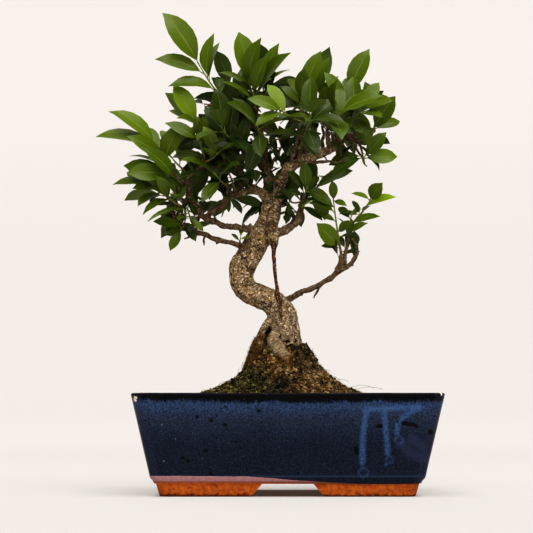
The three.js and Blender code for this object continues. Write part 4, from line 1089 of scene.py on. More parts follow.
def all_limbs():
    """Every thick limb as (name, line, radii), uneven as grown wood is, in table millimetres."""
    named = {"trunk": TRUNK, **{f"root_{name}": row for name, row in ROOTS.items()}, **BRANCHES,
             "ridge": RIDGE, "knob": KNOB}
    limbs = []
    for number, (name, row) in enumerate(named.items()):
        line, radii = traced(*row, spacing=LIMB_STEP)
        thick = name == "trunk" or name.startswith("root")
        sway, swell, knots = THICK_UNEVEN if thick else SLIM_UNEVEN.get(name, BRANCH_UNEVEN)
        ends = np.sin(np.pi * np.linspace(0.02, 0.98, len(line))) ** 0.5
        for i, point in enumerate(line.copy()):
            wander = noise.noise_vector(Vector(point) / 7.5 + Vector((number, 0, 0)))
            line[i] += np.array(wander) * 2 * sway * ends[i]
            turn = i * LIMB_STEP * 2 * math.pi / KNOT_SPACING + 3 * noise.noise(Vector(point) / 11)
            knuckle = max(0.0, math.cos(turn)) ** 6
            radii[i] *= 1 + swell * 2 * noise.noise(Vector(point) / 4.2) + knots * knuckle
        limbs.append((name, line, radii))
    return limbs


def all_stubs(rng):
    """Short stubs and buds along the branches, which make them knobbly."""
    stubs = []
    for name, row in BRANCHES.items():
        if name == "aerial_root":
            continue
        line, radii = traced(*row, spacing=1.0)
        tangents = frames_along(line)[0]
        i = int(rng.uniform(9, 14))
        while i < len(line) - 2:
            out = unit(np.cross(tangents[i], rng.normal(size=3))) + tangents[i] * 0.5 + np.array((0, 0, 0.25))
            reach = radii[i] + rng.uniform(0.6, 3.2)
            thick = min(radii[i] * 0.55, rng.uniform(0.9, 1.5))
            stub = line[i] + np.outer(np.linspace(0, reach, 4), unit(out))
            stubs.append((name, stub, thick * np.array((1.3, 1.1, 1.0, 0.8))))
            i += int(rng.uniform(5, 11))
    return stubs


def twig_line(start, end, direction):
    """A bare twig that leaves its branch and meets its tip along a direction."""
    reach = float(np.linalg.norm(end - start))
    return bezier_line(start, end - direction * reach * 0.45, end, max(5, int(reach / 2.5)))


def merged(node):
    """Points and edges of a packed node with its doubled corners merged, in metres."""
    edit = bmesh.new()
    edit.from_mesh(frame["nodes"][node].data)
    bmesh.ops.remove_doubles(edit, verts=edit.verts, dist=2e-6)
    edit.verts.index_update()
    points = np.array([v.co for v in edit.verts], float)
    edges = [(e.verts[0].index, e.verts[1].index) for e in edit.edges]
    edit.free()
    return points, edges


def shoot_line(name, steps=10):
    """The curve of a shoot's green stem, in table millimetres."""
    _, _, start, end = TWIGS[name]
    start, end = np.array(start, float), np.array(end, float)
    middle = (start + end) / 2 - np.array((0, 0, SHOOT_SAG * np.linalg.norm(end - start)))
    return bezier_line(start, middle, end, steps)


def grow_fuzz(wood, settings):
    """Short rusty moss fibres on the feet of the roots, where moss has climbed them."""
    rng = draws("fuzz")
    points = on_table(points_of(wood.data))
    normals = read(wood.data.vertices, "normal", 3)
    mossy = read(wood.data.attributes["mossy"].data, "value")
    bare = points[:, 2] > ground_height(points[:, 0], points[:, 1]) - 1
    chosen = np.nonzero((mossy > rng.uniform(0.35, 0.9, len(mossy))) & bare)[0]
    chosen = rng.choice(chosen, min(settings.fuzz, len(chosen)), replace=False)
    tones = np.ones((len(chosen), 4))
    tones[:, :3] = np.array(FUZZ_TONE) * np.exp(rng.normal(0, 0.7, (len(chosen), 1)))
    add_moss_piece("root_moss", points[chosen], normals[chosen], 0.75, tones.clip(0, 0.7), rng,
                   moss_finish(settings))


def mark_limbs(mesh, limbs):
    """Stores on each point where it lies along and round its limb, how thick the limb is, how red and
    how ringed its bark is, and how far moss has climbed over it."""
    trees = {False: kdtree.KDTree(9999), True: kdtree.KDTree(9999)}
    rows = []
    for number, (name, line, radii) in enumerate(limbs):
        tangents, across, over = frames_along(line)
        lengths = np.concatenate([[0], np.cumsum(np.linalg.norm(np.diff(line, axis=0), axis=1))])
        climb = MOSS_LINES.get(name, TRUNK_MOSS)
        for i, at in enumerate(in_place(line)):
            trees[name in RED_BARK].insert(at, len(rows))
            rows.append((at, tangents[i], across[i], over[i], lengths[i] * MM + number * 0.5,
                         radii[i] * MM, RED_BARK.get(name, 0.0), float(name == "root_knee"), climb))
    trees[True].balance()
    trees[False].balance()
    marks = {"unbent": [], "girth": [], "kinds": [], "mossy": []}
    for point in points_of(mesh):
        near = min(trees[False].find_n(point, 14), key=lambda one: one[2] - rows[one[1]][5])
        thin = trees[True].find(point)
        if thin[2] - rows[thin[1]][5] < 0.6 * MM and rows[thin[1]][5] < 5 * MM:
            near = thin
        at, tangent, across, over, length, radius, red, ringed, climb = rows[near[1]]
        away = point - at
        height = point[2] / MM
        climbed = (climb[0] - height) / climb[1] + 0.5 + 0.8 * noise.noise(Vector(point) * 150)
        marks["unbent"].append((length + away @ tangent, away @ across, away @ over))
        marks["girth"].append(radius)
        marks["kinds"].append((red, ringed * np.clip((height - KNEE_FOOT) / 6, 0, 1), 0.0))
        marks["mossy"].append(np.clip(climbed, 0, 1))
    for name, values in marks.items():
        put_attribute(mesh, name, values)


def press_hollows(mesh):
    """Pushes the wood back into the hollows between the roots, and marks the painted shade in them and the
    spot of lichen.
    """
    points = points_of(mesh)
    places = on_table(points)
    front = read(mesh.vertices, "normal", 3)[:, 1] < 0.25
    kinds = read(mesh.attributes["kinds"].data, "vector", 3)
    uneven = 2.6 * lumpy(places[:, 0], places[:, 2], 3.4, 5)
    for x, z, half_x, half_z, depth, dark in SHADED_HOLLOWS:
        away = ((places[:, 0] + uneven - x) / half_x) ** 2 + ((places[:, 2] - uneven - z) / half_z) ** 2
        share = np.clip(1.25 - away, 0, 1) * (front & (places[:, 1] < 6))
        points[:, 1] += share * depth * MM
        kinds[:, 2] = np.clip(kinds[:, 2] + np.clip(share * 1.6, 0, 1) * dark, -1, 1)
    put_points(mesh, points)
    mesh.attributes["kinds"].data.foreach_set("vector", kinds.ravel())


def swell_wood(wood, settings):
    """Lumps and ridges, more on thick limbs than on thin ones."""
    girth = read(wood.data.attributes["girth"].data, "value")
    group = wood.vertex_groups.new(name="thick")
    weights = np.clip((girth / MM - 0.5) / 8, 0.15, 1)
    for level in np.linspace(0.1, 1, 19):
        chosen = np.nonzero(np.abs(weights - level) <= 0.025)[0]
        if len(chosen):
            group.add([int(i) for i in chosen], float(level), "REPLACE")
    for name, size, share in (("Lumps", 0.016, 0.9), ("Ridges", 0.0045, 0.6), ("Cork", 0.0018, 0.36)):
        texture = bpy.data.textures.new(name, "CLOUDS")
        texture.noise_scale = size
        texture.noise_depth = 1
        apply_modifier(wood, "DISPLACE", texture=texture, texture_coords="LOCAL", mid_level=0.5,
                       strength=settings.swell * share, vertex_group="thick")
    wood.vertex_groups.clear()


def grow_twigs(bark):
    """The bare twig of each leafy shoot and the dead spurs, as tapered limbs sunk in their branches."""
    points, faces, unbent, girth = [], [], [], []
    for number, (branch, along, end, direction, radius, taper) in enumerate(twig_rows()):
        start = along_limb(BRANCHES[branch][0], along)
        line = twig_line(start, end, direction)
        steps = len(line)
        shares = np.linspace(0, 1, steps)
        wander = np.array([noise.noise_vector(Vector(p) / 9) for p in line]) * 2.4
        line = in_place(line + wander * np.sin(np.pi * shares)[:, None])
        uneven = np.array([noise.noise(Vector(p) * 260) for p in line])
        knuckles = np.where(np.arange(steps) % 4 == 3, 1.22, 0.98)
        radii = radius * MM * (TWIG_FLARE + (taper - TWIG_FLARE) * shares) * (1 + 0.30 * uneven) * knuckles
        made, quads = tube(line, radii, TWIG_SIDES)
        add_body(points, faces, made, quads)
        _, across, over = frames_along(line)
        for i, point in enumerate(made):
            ring = i // TWIG_SIDES
            away = point - line[ring]
            unbent.append((number * 0.3 + ring * 0.0025, away @ across[ring], away @ over[ring]))
        girth += [radius * MM] * len(made)
    twigs = mesh_piece("fig_twigs", points, faces)
    put_attribute(twigs.data, "unbent", unbent)
    put_attribute(twigs.data, "girth", girth)
    settle(twigs, "fig_twigs", "bark", [bark], "tree")
    bpy.ops.object.shade_smooth()


def twig_rows():
    """Each twig as its branch, how far along it, its tip and direction there, its radius and its taper."""
    rng = draws("twigs")
    rows = []
    for name, (branch, along, _, _) in TWIGS.items():
        line = shoot_line(name)
        direction = unit(line[1] - line[0])
        radius = TWIG_RADIUS * (SPROUT_SHARE if name == "sprout" else 1)
        rows.append((branch, along, line[0] + direction * 0.4, direction, radius, 0.92))
    for branch, along, tip, radius in SPURS:
        direction = unit(np.array(tip) - along_limb(BRANCHES[branch][0], along)) + np.array((0, 0, 0.25))
        rows.append((branch, along, np.array(tip, float), unit(direction), radius, 0.6))
    for branch, low, high, count in DEAD_TWIGS:
        for _ in range(count):
            along = rng.uniform(low, high)
            start = along_limb(BRANCHES[branch][0], along)
            direction = unit(rng.normal(size=3) * (1, 0.8, 0.7) + (0.2 * np.sign(start[0]), -0.2, -0.1))
            tip = start + direction * rng.uniform(8, 19)
            bent = direction + rng.normal(0, 0.45, 3)
            rows.append((branch, along, tip, unit(bent), rng.uniform(0.5, 0.8), 0.55))
    return rows


class BONSAI_OT_grow_wood(bpy.types.Operator):
    """Model the trunk, roots and branches as one body of bark, and the bare twigs on it"""

    bl_idname = "bonsai.grow_wood"
    bl_label = "Grow Wood"

    def execute(self, context):
        settings = context.scene.bonsai_wood
        rng = draws("stubs")
        noise.seed_set(SEEDS["sway"])
        limbs = all_limbs()
        drawn = limbs + all_stubs(rng)
        wood = curve_piece("fig_wood", [(line, radii + 0.2) for _, line, radii in drawn], 16)
        apply_modifier(wood, "REMESH", mode="VOXEL", voxel_size=settings.voxel, use_smooth_shade=True)
        apply_modifier(wood, "SMOOTH", factor=0.5, iterations=4)
        mark_limbs(wood.data, limbs)
        swell_wood(wood, settings)
        press_hollows(wood.data)
        bark = bark_finish(settings)
        settle(wood, "fig_wood", "bark", [bark], "tree")
        grow_twigs(bark)
        grow_fuzz(wood, context.scene.bonsai_moss)
        return {"FINISHED"}


# ---- leaves


def read_leaves(node):
    """The blades of a leafy shoot, read from its packed solid: root, line, face, across, length, half width
    and arch of each, in metres.

    The two faces of a packed blade are one thickness apart, so its corners come in pairs, and the pairs of
    one blade form a net of eight, or six on a plain blade, whose best-joined pair lies on the midrib."""
    points, edges = merged(node)
    tree = kdtree.KDTree(len(points))
    for i, point in enumerate(points):
        tree.insert(point, i)
    tree.balance()
    mate = {}
    for i, point in enumerate(points):
        for _, j, distance in tree.find_range(point, PACKED_THICKNESS * 1.02):
            if i < j and abs(distance - PACKED_THICKNESS) < 3e-6 and i not in mate and j not in mate:
                mate[i], mate[j] = j, i
    middle = {i: (points[i] + points[j]) / 2 for i, j in mate.items()}
    normal = {i: (points[i] - points[j]) / PACKED_THICKNESS for i, j in mate.items()}
    key = {i: min(i, j) for i, j in mate.items()}
    joined = {k: set() for k in key.values()}
    for i, j in edges:
        if i in key and j in key and key[i] != key[j] and abs(normal[i] @ normal[j]) > 0.9995:
            joined[key[i]].add(key[j])
            joined[key[j]].add(key[i])
    leaves, seen = [], set()
    for k in sorted(joined):
        if k in seen:
            continue
        net, queue = [], [k]
        seen.add(k)
        while queue:
            now = queue.pop()
            net.append(now)
            fresh = sorted(joined[now] - seen)
            seen.update(fresh)
            queue += fresh
        if len(net) in (6, 8):
            leaves.append(read_blade(net, joined, middle, normal))
    return leaves


def read_blade(net, joined, middle, normal):
    """One blade from its net of corner pairs."""
    degree = {k: len(joined[k]) for k in net}
    rib = max(net, key=lambda k: degree[k])
    plain = len(net) == 6
    necks = [(a, b) for a in net for b in net if a < b and b in joined[a] and rib not in (a, b)
             and abs(np.linalg.norm(middle[a] - middle[b]) - PACKED_NECK) < 0.02 * MM]
    a, b = necks[0]
    base = (middle[a] + middle[b]) / 2
    tip = max((k for k in net if k not in (a, b, rib)), key=lambda k: np.linalg.norm(middle[k] - base))
    wides = [k for k in net if k not in (a, b, rib, tip) and (k in joined[a] or k in joined[b])]
    face = normal[rib]
    raised = sum(middle[k] for k in wides) / len(wides) - middle[rib]
    if raised @ face < 0:
        face = -face
    line = middle[rib] - base
    line = unit(line - face * (line @ face))
    reach = middle[tip] - base
    length = reach @ line
    across = np.cross(face, line)
    half = max(abs((middle[k] - middle[rib]) @ across) for k in wides) / (1.0 if plain else FULL_SHARE)
    # The packed neck stands a little proud of the midrib's line.
    arch = -(reach @ face) / length
    return {"base": base, "root": base - line * STALK * length, "line": line, "face": face, "across": across,
            "length": length, "half": half, "arch": arch}


CROWN = (np.array((-20.0, -4.0, 326.0)), np.array((118.0, 92.0, 92.0)))  # middle and reach of the leafy crown
SPARSE_SHOOTS = ("sprout",)
# Sprigs of small leaves inside the crown: across, depth, height and number of leaves.
INNER_SPRIGS = [(-14, -6, 320, 6), (-5, -10, 303, 6), (-18, -8, 292, 5), (2, -10, 273, 5), (8, -6, 262, 5),
                (-36, -10, 288, 5), (-28, -12, 286, 4), (-77, -14, 361, 6), (-71, -18, 352, 6),
                (-94, -20, 275, 6), (-82, -20, 269, 5), (-50, 0, 330, 6), (-40, -14, 345, 6),
                (-60, -16, 312, 6), (10, 10, 335, 6), (30, -8, 345, 5), (-88, -10, 300, 6)]

RIB_DEPTH = 0.32 * MM
GROOVE_DEPTH = 0.16 * MM
FOLD = (0.24, 0.10)  # of the two halves of a blade, and how far it differs from leaf to leaf
WAVE, CURL, BOW = 0.018, 0.045, 0.035  # as shares of a blade's length
AGES = {"deep_leaf": 0.14, "leaf": 0.42, "young_leaf": 0.82}
YOUNG_SPREAD = 1.6  # how much older the other leaves of a young shoot are than its longest one

# One blade: rows along it as (share of its length, share of its half width).
BLADE_ROWS = [(0.0, 0.07), (0.07, 0.27), (0.18, 0.58), (0.34, 0.90), (0.52, 1.03), (0.70, 0.95), (0.84, 0.68),
              (0.93, 0.30), (1.0, 0.03)]
BLADE_COLUMNS = (-1.0, -0.52, 0.0, 0.52, 1.0)


def master_blade():
    """The blade that all leaves are copied from: a grid shaped to the outline, its back face laid under it.

    Returns its points as (across, along, width, part), its faces, and how many of them are on top. part is
    1 on top and -1 below; the rim's points belong to both faces."""
    columns, rows = len(BLADE_COLUMNS) - 1, len(BLADE_ROWS) - 1
    grid = primitive("grid", x_subdivisions=columns, y_subdivisions=rows, size=2, location=(0, 0, 0))
    quads = [tuple(face.vertices) for face in grid.data.polygons]
    shape = []
    for vertex in grid.data.vertices:
        x, y, _ = vertex.co
        share, width = BLADE_ROWS[int(round((y + 1) / 2 * rows))]
        shape.append((BLADE_COLUMNS[int(round((x + 1) / 2 * columns))], share, width, 1.0))
    bpy.data.objects.remove(grid)
    below = {}
    for i, (column, share, width, _) in enumerate(list(shape)):
        below[i] = i
        if abs(column) < 1 and 0 < share < 1:
            below[i] = len(shape)
            shape.append((column, share, width, -1.0))
    faces = quads + [tuple(below[i] for i in reversed(quad)) for quad in quads]
    return np.array(shape), faces, len(quads)


def leaf_points(leaf, shape, draw, thickness):
    """The points of one leaf: the master blade's, spread, folded, waved, curled and bowed."""
    column, share, width, part = shape.T
    half, length = leaf["half"], leaf["length"]
    rim = (np.abs(column) >= 1) | (share <= 0) | (share >= 1)
    spread = column * width * half
    lift = np.where(rim, 0.0, part * thickness / 2 * (1 - 0.45 * np.abs(column)))
    rib = np.where((column == 0) & (part < 0), -RIB_DEPTH * (1 - share) ** 1.2, 0.0)
    groove = np.where((column == 0) & (part > 0), -GROOVE_DEPTH, 0.0)
    fold = np.abs(column) ** 1.35 * width * half * (FOLD[0] + FOLD[1] * draw[0])
    wave = WAVE * length * draw[1] * column * np.sin(share * (7 + 2 * draw[2]) + 3 * draw[3]) * width
    curl = -CURL * length * np.clip((share - 0.8) / 0.2, 0, 1) ** 2 * (1 + draw[4])
    bow = BOW * length * draw[5] * np.sin(np.pi * share * 0.9)
    drop = -leaf["arch"] * length * share**2
    return (leaf["base"]
            + np.outer(share * length, leaf["line"])
            + np.outer(spread + bow, leaf["across"])
            + np.outer(drop + fold + wave + curl + lift + rib + groove, leaf["face"]))


def leafy_shoot(node, number, leaves, foliage, settings):
    """One leafy shoot: its packed blades, small old leaves round its foot, its stem and its bud."""
    rng = draws("shoots", number)
    slot = SLOT_OF[node]
    age = AGES[slot]
    name = node.replace("shoot_", "")
    scale = SPROUT_SHARE if name == "sprout" else 1
    line = shoot_line(name)
    foliage.start()
    longest = max(leaves, key=lambda leaf: leaf["length"])
    for leaf in leaves:
        draw = rng.uniform(-1, 1, 8)
        if slot == "young_leaf" and leaf is not longest and name != "sprout":
            draw[6] -= YOUNG_SPREAD
        root = on_table(leaf["root"])
        along = int(np.argmin(np.linalg.norm(line - root, axis=1))) / (len(line) - 1)
        young = float(np.clip(age + 0.22 * (along - 0.4) + 0.16 * draw[6], 0, 1))
        foliage.leaf(leaf, draw, young, scale)
    branch, share = TWIGS[name][:2]
    foot = along_limb(BRANCHES[branch][0], share)
    if name not in SPARSE_SHOOTS:
        for _ in range(settings.inner):
            up = rng.uniform(0.35, 1.45)
            start = foot + (line[0] - foot) * up if up < 1 else line[int((up - 1) * (len(line) - 1))]
            foliage.leaf(small_leaf(rng, start, line[-1] - foot), rng.uniform(-1, 1, 8), 0.05, 0.6)
    foliage.round(in_place(line), np.linspace(*STEM_RADIUS, len(line)) * MM * scale, 8)
    bud = line[-1] + np.outer(BUD_STEPS * scale, unit(line[-1] - line[-2]))
    foliage.round(in_place(bud), BUD_RADII * MM * scale, 7, 1.0)
    foliage.finish_piece(f"leaves_{name}", slot, node)


def inner_sprigs(foliage):
    """Short sprigs of small old leaves in the shade of the crown, each from the nearest branch."""
    rng = draws("sprigs")
    limbs = np.concatenate([traced(*row)[0] for name, row in BRANCHES.items() if name != "aerial_root"])
    foliage.start()
    for x, y, z, count in INNER_SPRIGS:
        tip = np.array((x, y, z), float)
        foot = limbs[np.argmin(np.linalg.norm(limbs - tip, axis=1))]
        line = bezier_line(foot, (foot + tip) / 2 + rng.normal(0, 3, 3), tip, 8)
        foliage.round(in_place(line), np.linspace(0.9, 0.6, len(line)) * MM, 6, 0.1)
        for _ in range(count):
            start = line[int(rng.integers(4, len(line)))]
            foliage.leaf(small_leaf(rng, start, tip - foot), rng.uniform(-1, 1, 8), 0.08, 0.6)
    foliage.finish_piece("leaves_inner_sprigs", "deep_leaf")


class BONSAI_OT_unfold_leaves(bpy.types.Operator):
    """Model each leafy shoot: its green stem, its bud, and a fine blade for each packed one"""

    bl_idname = "bonsai.unfold_leaves"
    bl_label = "Unfold Leaves"

    def execute(self, context):
        settings = context.scene.bonsai_leaves
        foliage = Foliage(settings)
        for number, node in enumerate(SHOOT_NODES):
            leaves = read_leaves(node)
            if not leaves:
                raise RuntimeError(f"{node} has no readable leaves")
            leafy_shoot(node, number, leaves, foliage, settings)
        inner_sprigs(foliage)
        return {"FINISHED"}


def small_leaf(rng, start, onward):
    """A small leaf from a place on a stem, pointing at random and a little along the stem, face upward."""
    line = unit(unit(onward) * 0.5 + rng.normal(0, 0.75, 3))
    face = np.array((0, -0.35, 1.0)) + rng.normal(0, 0.45, 3)
    face = unit(face - line * (face @ line))
    length = rng.uniform(11, 22)
    root = in_place(start)
    half = length * rng.uniform(0.17, 0.24) * MM
    return {"root": root, "base": root + line * STALK * length * MM, "line": line, "face": face, "half": half,
            "across": np.cross(face, line), "length": length * MM, "arch": rng.uniform(0.02, 0.30)}


class Foliage:
    """Collects the blades, stalks and stems of one piece of leaves."""

    def __init__(self, settings):
        self.thickness = settings.thickness
        self.blade = master_blade()
        self.finishes = [leaf_finish(settings), stem_finish(settings)]

    def start(self):
        self.points, self.faces, self.tints, self.uvs, self.finish, self.shade = [], [], [], [], [], []

    def add(self, made, quads, tints, uvs, finish, shade):
        """Adds a body with the tint of each face, the place of each point on it, its finish, and the strength
        of the painted shade on it.
        """
        add_body(self.points, self.faces, made, quads)
        self.tints += tints
        self.uvs += [uvs[i] for quad in quads for i in quad]
        self.finish += [finish] * len(quads)
        self.shade += [shade] * len(quads)

    def leaf(self, leaf, draw, young, scale):
        """One blade with its stalk, darkened by painted shade the deeper it sits in the crown."""
        shape, quads, upper = self.blade
        middle = on_table(leaf["base"] + leaf["line"] * leaf["length"] * 0.5)
        # Painted shade: the deeper a leaf sits inside the crown, and the lower it hangs below the crown's
        # middle on all but the right, the darker it is painted.
        out = np.linalg.norm((middle - CROWN[0]) / CROWN[1])
        below = np.clip((305 - middle[2]) / 70, 0, 0.28) * (middle[0] < 30)
        dark = float(np.clip(max(1.15 - out, below) + 0.12 * draw[4], 0, 1))
        tints = [(young, 0.5 + 0.5 * draw[7], float(k >= upper), 1.0) for k in range(len(quads))]
        uvs = [(0.5 + 0.5 * column, share) for column, share, _, _ in shape]
        self.add(leaf_points(leaf, shape, draw, self.thickness), quads, tints, uvs, 0, dark)
        end = leaf["base"] + leaf["line"] * 0.03 * leaf["length"]
        sag = leaf["face"] * 0.02 * leaf["length"]
        stalk = bezier_line(leaf["root"], (leaf["root"] + end) / 2 - sag, end, 3)
        self.round(stalk, STALK_RADII * MM * scale, 5, 0.5 + 0.5 * young)

    def round(self, line, radii, sides, tone=None):
        """A tube in metres whose tint runs from wood at its start to green at its end, or is one tone."""
        made, quads = tube(line, radii, sides)
        rings = len(line)
        tones = [min(quad) // sides / (rings - 1) if tone is None else tone for quad in quads]
        uvs = [(i % sides / sides, i // sides / rings) for i in range(len(made))]
        self.add(made, quads, [(one, 0.5, 0.0, 1.0) for one in tones], uvs, 1, 0.0)

    def finish_piece(self, name, slot, *nodes):
        """Makes the collected bodies one piece, kept inside the packed part's box."""
        points = np.clip(np.array(self.points), np.array(CAD_BOX[0]), np.array(CAD_BOX[1]))
        piece = mesh_piece(name, points, self.faces)
        mesh = piece.data
        put_attribute(mesh, "tint", self.tints, "FACE")
        put_attribute(mesh, "shade", self.shade, "FACE")
        layer = mesh.uv_layers.new(name="blade")
        layer.data.foreach_set("uv", np.array(self.uvs, np.float32).ravel())
        settle(piece, name, slot, self.finishes, *nodes)
        mesh.polygons.foreach_set("material_index", self.finish)
        mesh.polygons.foreach_set("use_smooth", [True] * len(mesh.polygons))
        bpy.ops.object.shade_smooth_by_angle(angle=LEAF_CREASE)


def leaf_finish(settings):
    """Glossy green with a paler midrib and side veins, and a dull pale underside."""
    material, wires, at = new_finish("Leaf", 0.32, 0.31)
    age, chance, under = wires.parts(wires.attribute("tint", "Color"), "ShaderNodeSeparateColor")
    u, v, _ = wires.parts(wires.add("ShaderNodeUVMap", {}, uv_map="blade"))
    away = wires.times(wires.math("ABSOLUTE", wires.math("SUBTRACT", u, 0.5)), 2.0)
    mottle = wires.noise(at, 5.0, 4.0, 0.6)

    shade = wires.attribute("shade")
    old_to_grown = wires.between(age, 0.0, 0.5)
    grown_to_young = wires.between(age, 0.5, 1.0)
    colour = wires.blend(old_to_grown, settings.old, settings.grown)
    colour = wires.blend(grown_to_young, colour, settings.young)
    colour = wires.cover(colour, wires.blend(0.35, colour, settings.young), mottle, 0.30)
    warmer = wires.blend(0.35, colour, (0.16, 0.17, 0.01))
    colour = wires.cover(colour, warmer, chance, 0.5)

    # Painted shade darkens the leaves deep in the crown and low under it.
    colour = wires.cover(colour, wires.blend(0.6, colour, (0.001, 0.006, 0.002)), shade, 0.92)

    # Side veins leave the midrib forwards.
    slant = wires.times_plus(away, -0.17, v)
    vein = wires.math("ABSOLUTE", wires.math("SINE", wires.times(slant, 44.0)))
    vein = wires.within(vein, 0.0, 0.22)
    fade = wires.between(away, 0.98, 0.2)
    vein = wires.times(vein, fade)
    rib_width = wires.between(v, 0.0, 1.0, 0.085, 0.03)
    rib = wires.within(wires.math("DIVIDE", away, rib_width), 0.5, 1.3)
    pale = wires.blend(0.40, colour, (0.36, 0.42, 0.08))
    for share, strength in ((vein, 0.22), (rib, 0.85), (wires.between(away, 0.93, 1.0), 0.35)):
        colour = wires.cover(colour, pale, share, strength)
    back = wires.blend(0.38, colour, (0.15, 0.20, 0.06))
    colour = wires.blend(under, colour, back)

    rough = wires.times_plus(mottle, 0.16, 0.24)
    height = wires.times_plus(vein, -0.35, wires.times(rib, -0.8))
    height = wires.times_plus(wires.noise(at, 2.2, 3.0), 0.5, height)
    wires.dress(colour, height, 0.25 * MM, wires.times_plus(under, 0.25, rough))
    return material


def stem_finish(settings):
    """Young stems and stalks: light brown bark at the foot, green towards the bud."""
    material, wires, at = new_finish("Green stem", 0.5, 0.4)
    age = wires.parts(wires.attribute("tint", "Color"), "ShaderNodeSeparateColor")[0]
    mottle = wires.noise(at, 2.0, 4.0)
    brown = wires.blend(mottle, (0.30, 0.17, 0.07), (0.14, 0.08, 0.03))
    green = wires.blend(mottle, settings.stem, (0.24, 0.31, 0.05))
    colour = wires.blend(wires.between(age, 0.05, 0.55), brown, green)
    wires.dress(colour, mottle, 0.2 * MM)
    return material


# ---- soil and moss


def ground_height(x, y):
    """Height of the soil and its mound above the table, at a place in table millimetres."""
    angle = np.arctan2(y, x - MOUND_X)
    radius = np.hypot(x - MOUND_X, y / MOUND_SQUASH)
    radii, heights = np.array(MOUND, float).T
    for _ in range(2):
        height = np.interp(radius, radii, heights)
        uneven = 1 + 0.05 * np.sin(3 * angle + height / 9) + 0.03 * np.sin(5 * angle + height / 5)
        radius = np.hypot(x - MOUND_X, y / MOUND_SQUASH) / uneven
    return np.maximum(np.interp(radius, radii, heights), SOIL_LEVEL - 2.0)


def lumpy(x, y, size, seed):
    """Smooth seeded noise over the ground, from -1 to 1."""
    return np.array([noise.noise(Vector((a / size + seed, b / size, seed * 0.37))) for a, b in zip(x, y)])


def ground(x, y):
    """The ground with its lumps and crumbly surface."""
    flat = ground_height(x, y)
    rise = np.clip((flat - SOIL_LEVEL) / 25, 0.25, 1)
    return flat + rise * (2.4 * lumpy(x, y, 11, 3) + 2.3 * lumpy(x, y, 4.5, 7)) + 1.0 * lumpy(x, y, 1.9, 11)


# Long dry hairs on the mound: start, bend and end of each.
HAIRS = [
    ((-46, -16, 103), (-46, -18, 110), (-44, -18, 116)), ((-40, -14, 112), (-43, -15, 116), (-41, -15, 121)),
    ((21, -6, 121), (24, -8, 126), (24, -8, 131)), ((28, -8, 112), (34, -9, 116), (40, -10, 113)),
    ((38, -10, 106), (44, -12, 110), (49, -12, 104)), ((56, -14, 96), (66, -16, 103), (80, -16, 97)),
    ((60, -16, 94), (72, -18, 101), (88, -20, 96)), ((-70, -20, 93), (-64, -22, 99), (-60, -22, 97)),
    ((10, -14, 135), (14, -16, 140), (18, -15, 138)), ((-26, -18, 113), (-31, -22, 119), (-29, -22, 124)),
    ((44, 12, 103), (50, 14, 108), (58, 15, 103)), ((-50, 18, 100), (-58, 20, 107), (-64, 20, 100)),
]
CRUMB_PIECES = 2
BED_INSET = 9.7  # from the rim of the pot to the edge of the soil
BED_CORNER = 6.0
BED_GRID = (190, 136)
BED_SHADE = (0.55, 0.55, 0.55, 1)
SCATTER_HALF = (128, 88)
BARE_MIDDLE = 14  # radius under the trunk in which nothing is scattered
BRIGHT_CRUMBS = 0.018  # share of the crumbs that are bright rust
BRIGHT_TONE = (0.62, 0.33, 0.08)
DARK_CRUMBS = 0.38  # share of the crumbs that are dark peat
DARK_TONE = 0.2
FIBRE_LEAN = 0.45
SPIKE_TURNS = (0, 2.09, 4.19)
HAIR_RADIUS = 0.16
HAIR_STEPS = 10
HAIR_TONE = (0.20, 0.15, 0.09, 1)
# The cover of the mound, as seen from the front: across, height, reach and colour.
MOSS_PATCHES = [(-52, 98, 20, (0.150, 0.125, 0.040)), (-36, 108, 13, (0.120, 0.110, 0.036)),
                (-32, 126, 10, (0.34, 0.20, 0.065)), (-18, 112, 9, (0.160, 0.130, 0.045)),
                (-4, 103, 9, (0.052, 0.056, 0.030)), (-7, 119, 11, (0.62, 0.32, 0.11)),
                (16, 130, 9, (0.125, 0.105, 0.038)), (22, 113, 12, (0.29, 0.195, 0.080)),
                (12, 98, 12, (0.22, 0.135, 0.048)), (42, 99, 14, (0.26, 0.172, 0.065)),
                (66, 92, 18, (0.165, 0.120, 0.055)), (-90, 90, 18, (0.110, 0.075, 0.040)),
                (105, 90, 20, (0.100, 0.070, 0.042))]


def moss_colours(x, y, z, rng, spread):
    """The cover's colour at places, each with its own chance brightness and hue."""
    weights = np.stack([np.exp(-((x - px) ** 2 + (z - pz) ** 2) / (2 * (0.6 * reach) ** 2)) + 1e-9
                        for px, pz, reach, _ in MOSS_PATCHES], 1)
    colours = (weights / weights.sum(1)[:, None]) @ np.array([row[3] for row in MOSS_PATCHES])
    patchy = np.exp(1.3 * lumpy(x, y, 5, 31) + 1.0 * lumpy(x, y, 2.1, 47))
    brightness = np.clip(np.exp(rng.normal(0, spread, len(x))) * patchy, 0.06, 2.4)
    hue = rng.normal(0, 0.10 * spread, len(x))
    tint = np.stack([1.18 + hue, 1.16 - 0.4 * hue, 1.45 / (1 + 0.05 * brightness)], 1)
    colours = np.clip(colours * brightness[:, None] * tint, 0.002, 0.75)
    return np.concatenate([colours, np.ones((len(x), 1))], 1)


def coloured_piece(name, points, faces, colours, finish):
    """A piece of many small bodies with a colour for each of their points."""
    piece = mesh_piece(name, in_place(np.array(points)), faces)
    put_attribute(piece.data, "moss", colours)
    settle(piece, name, "moss", [finish])


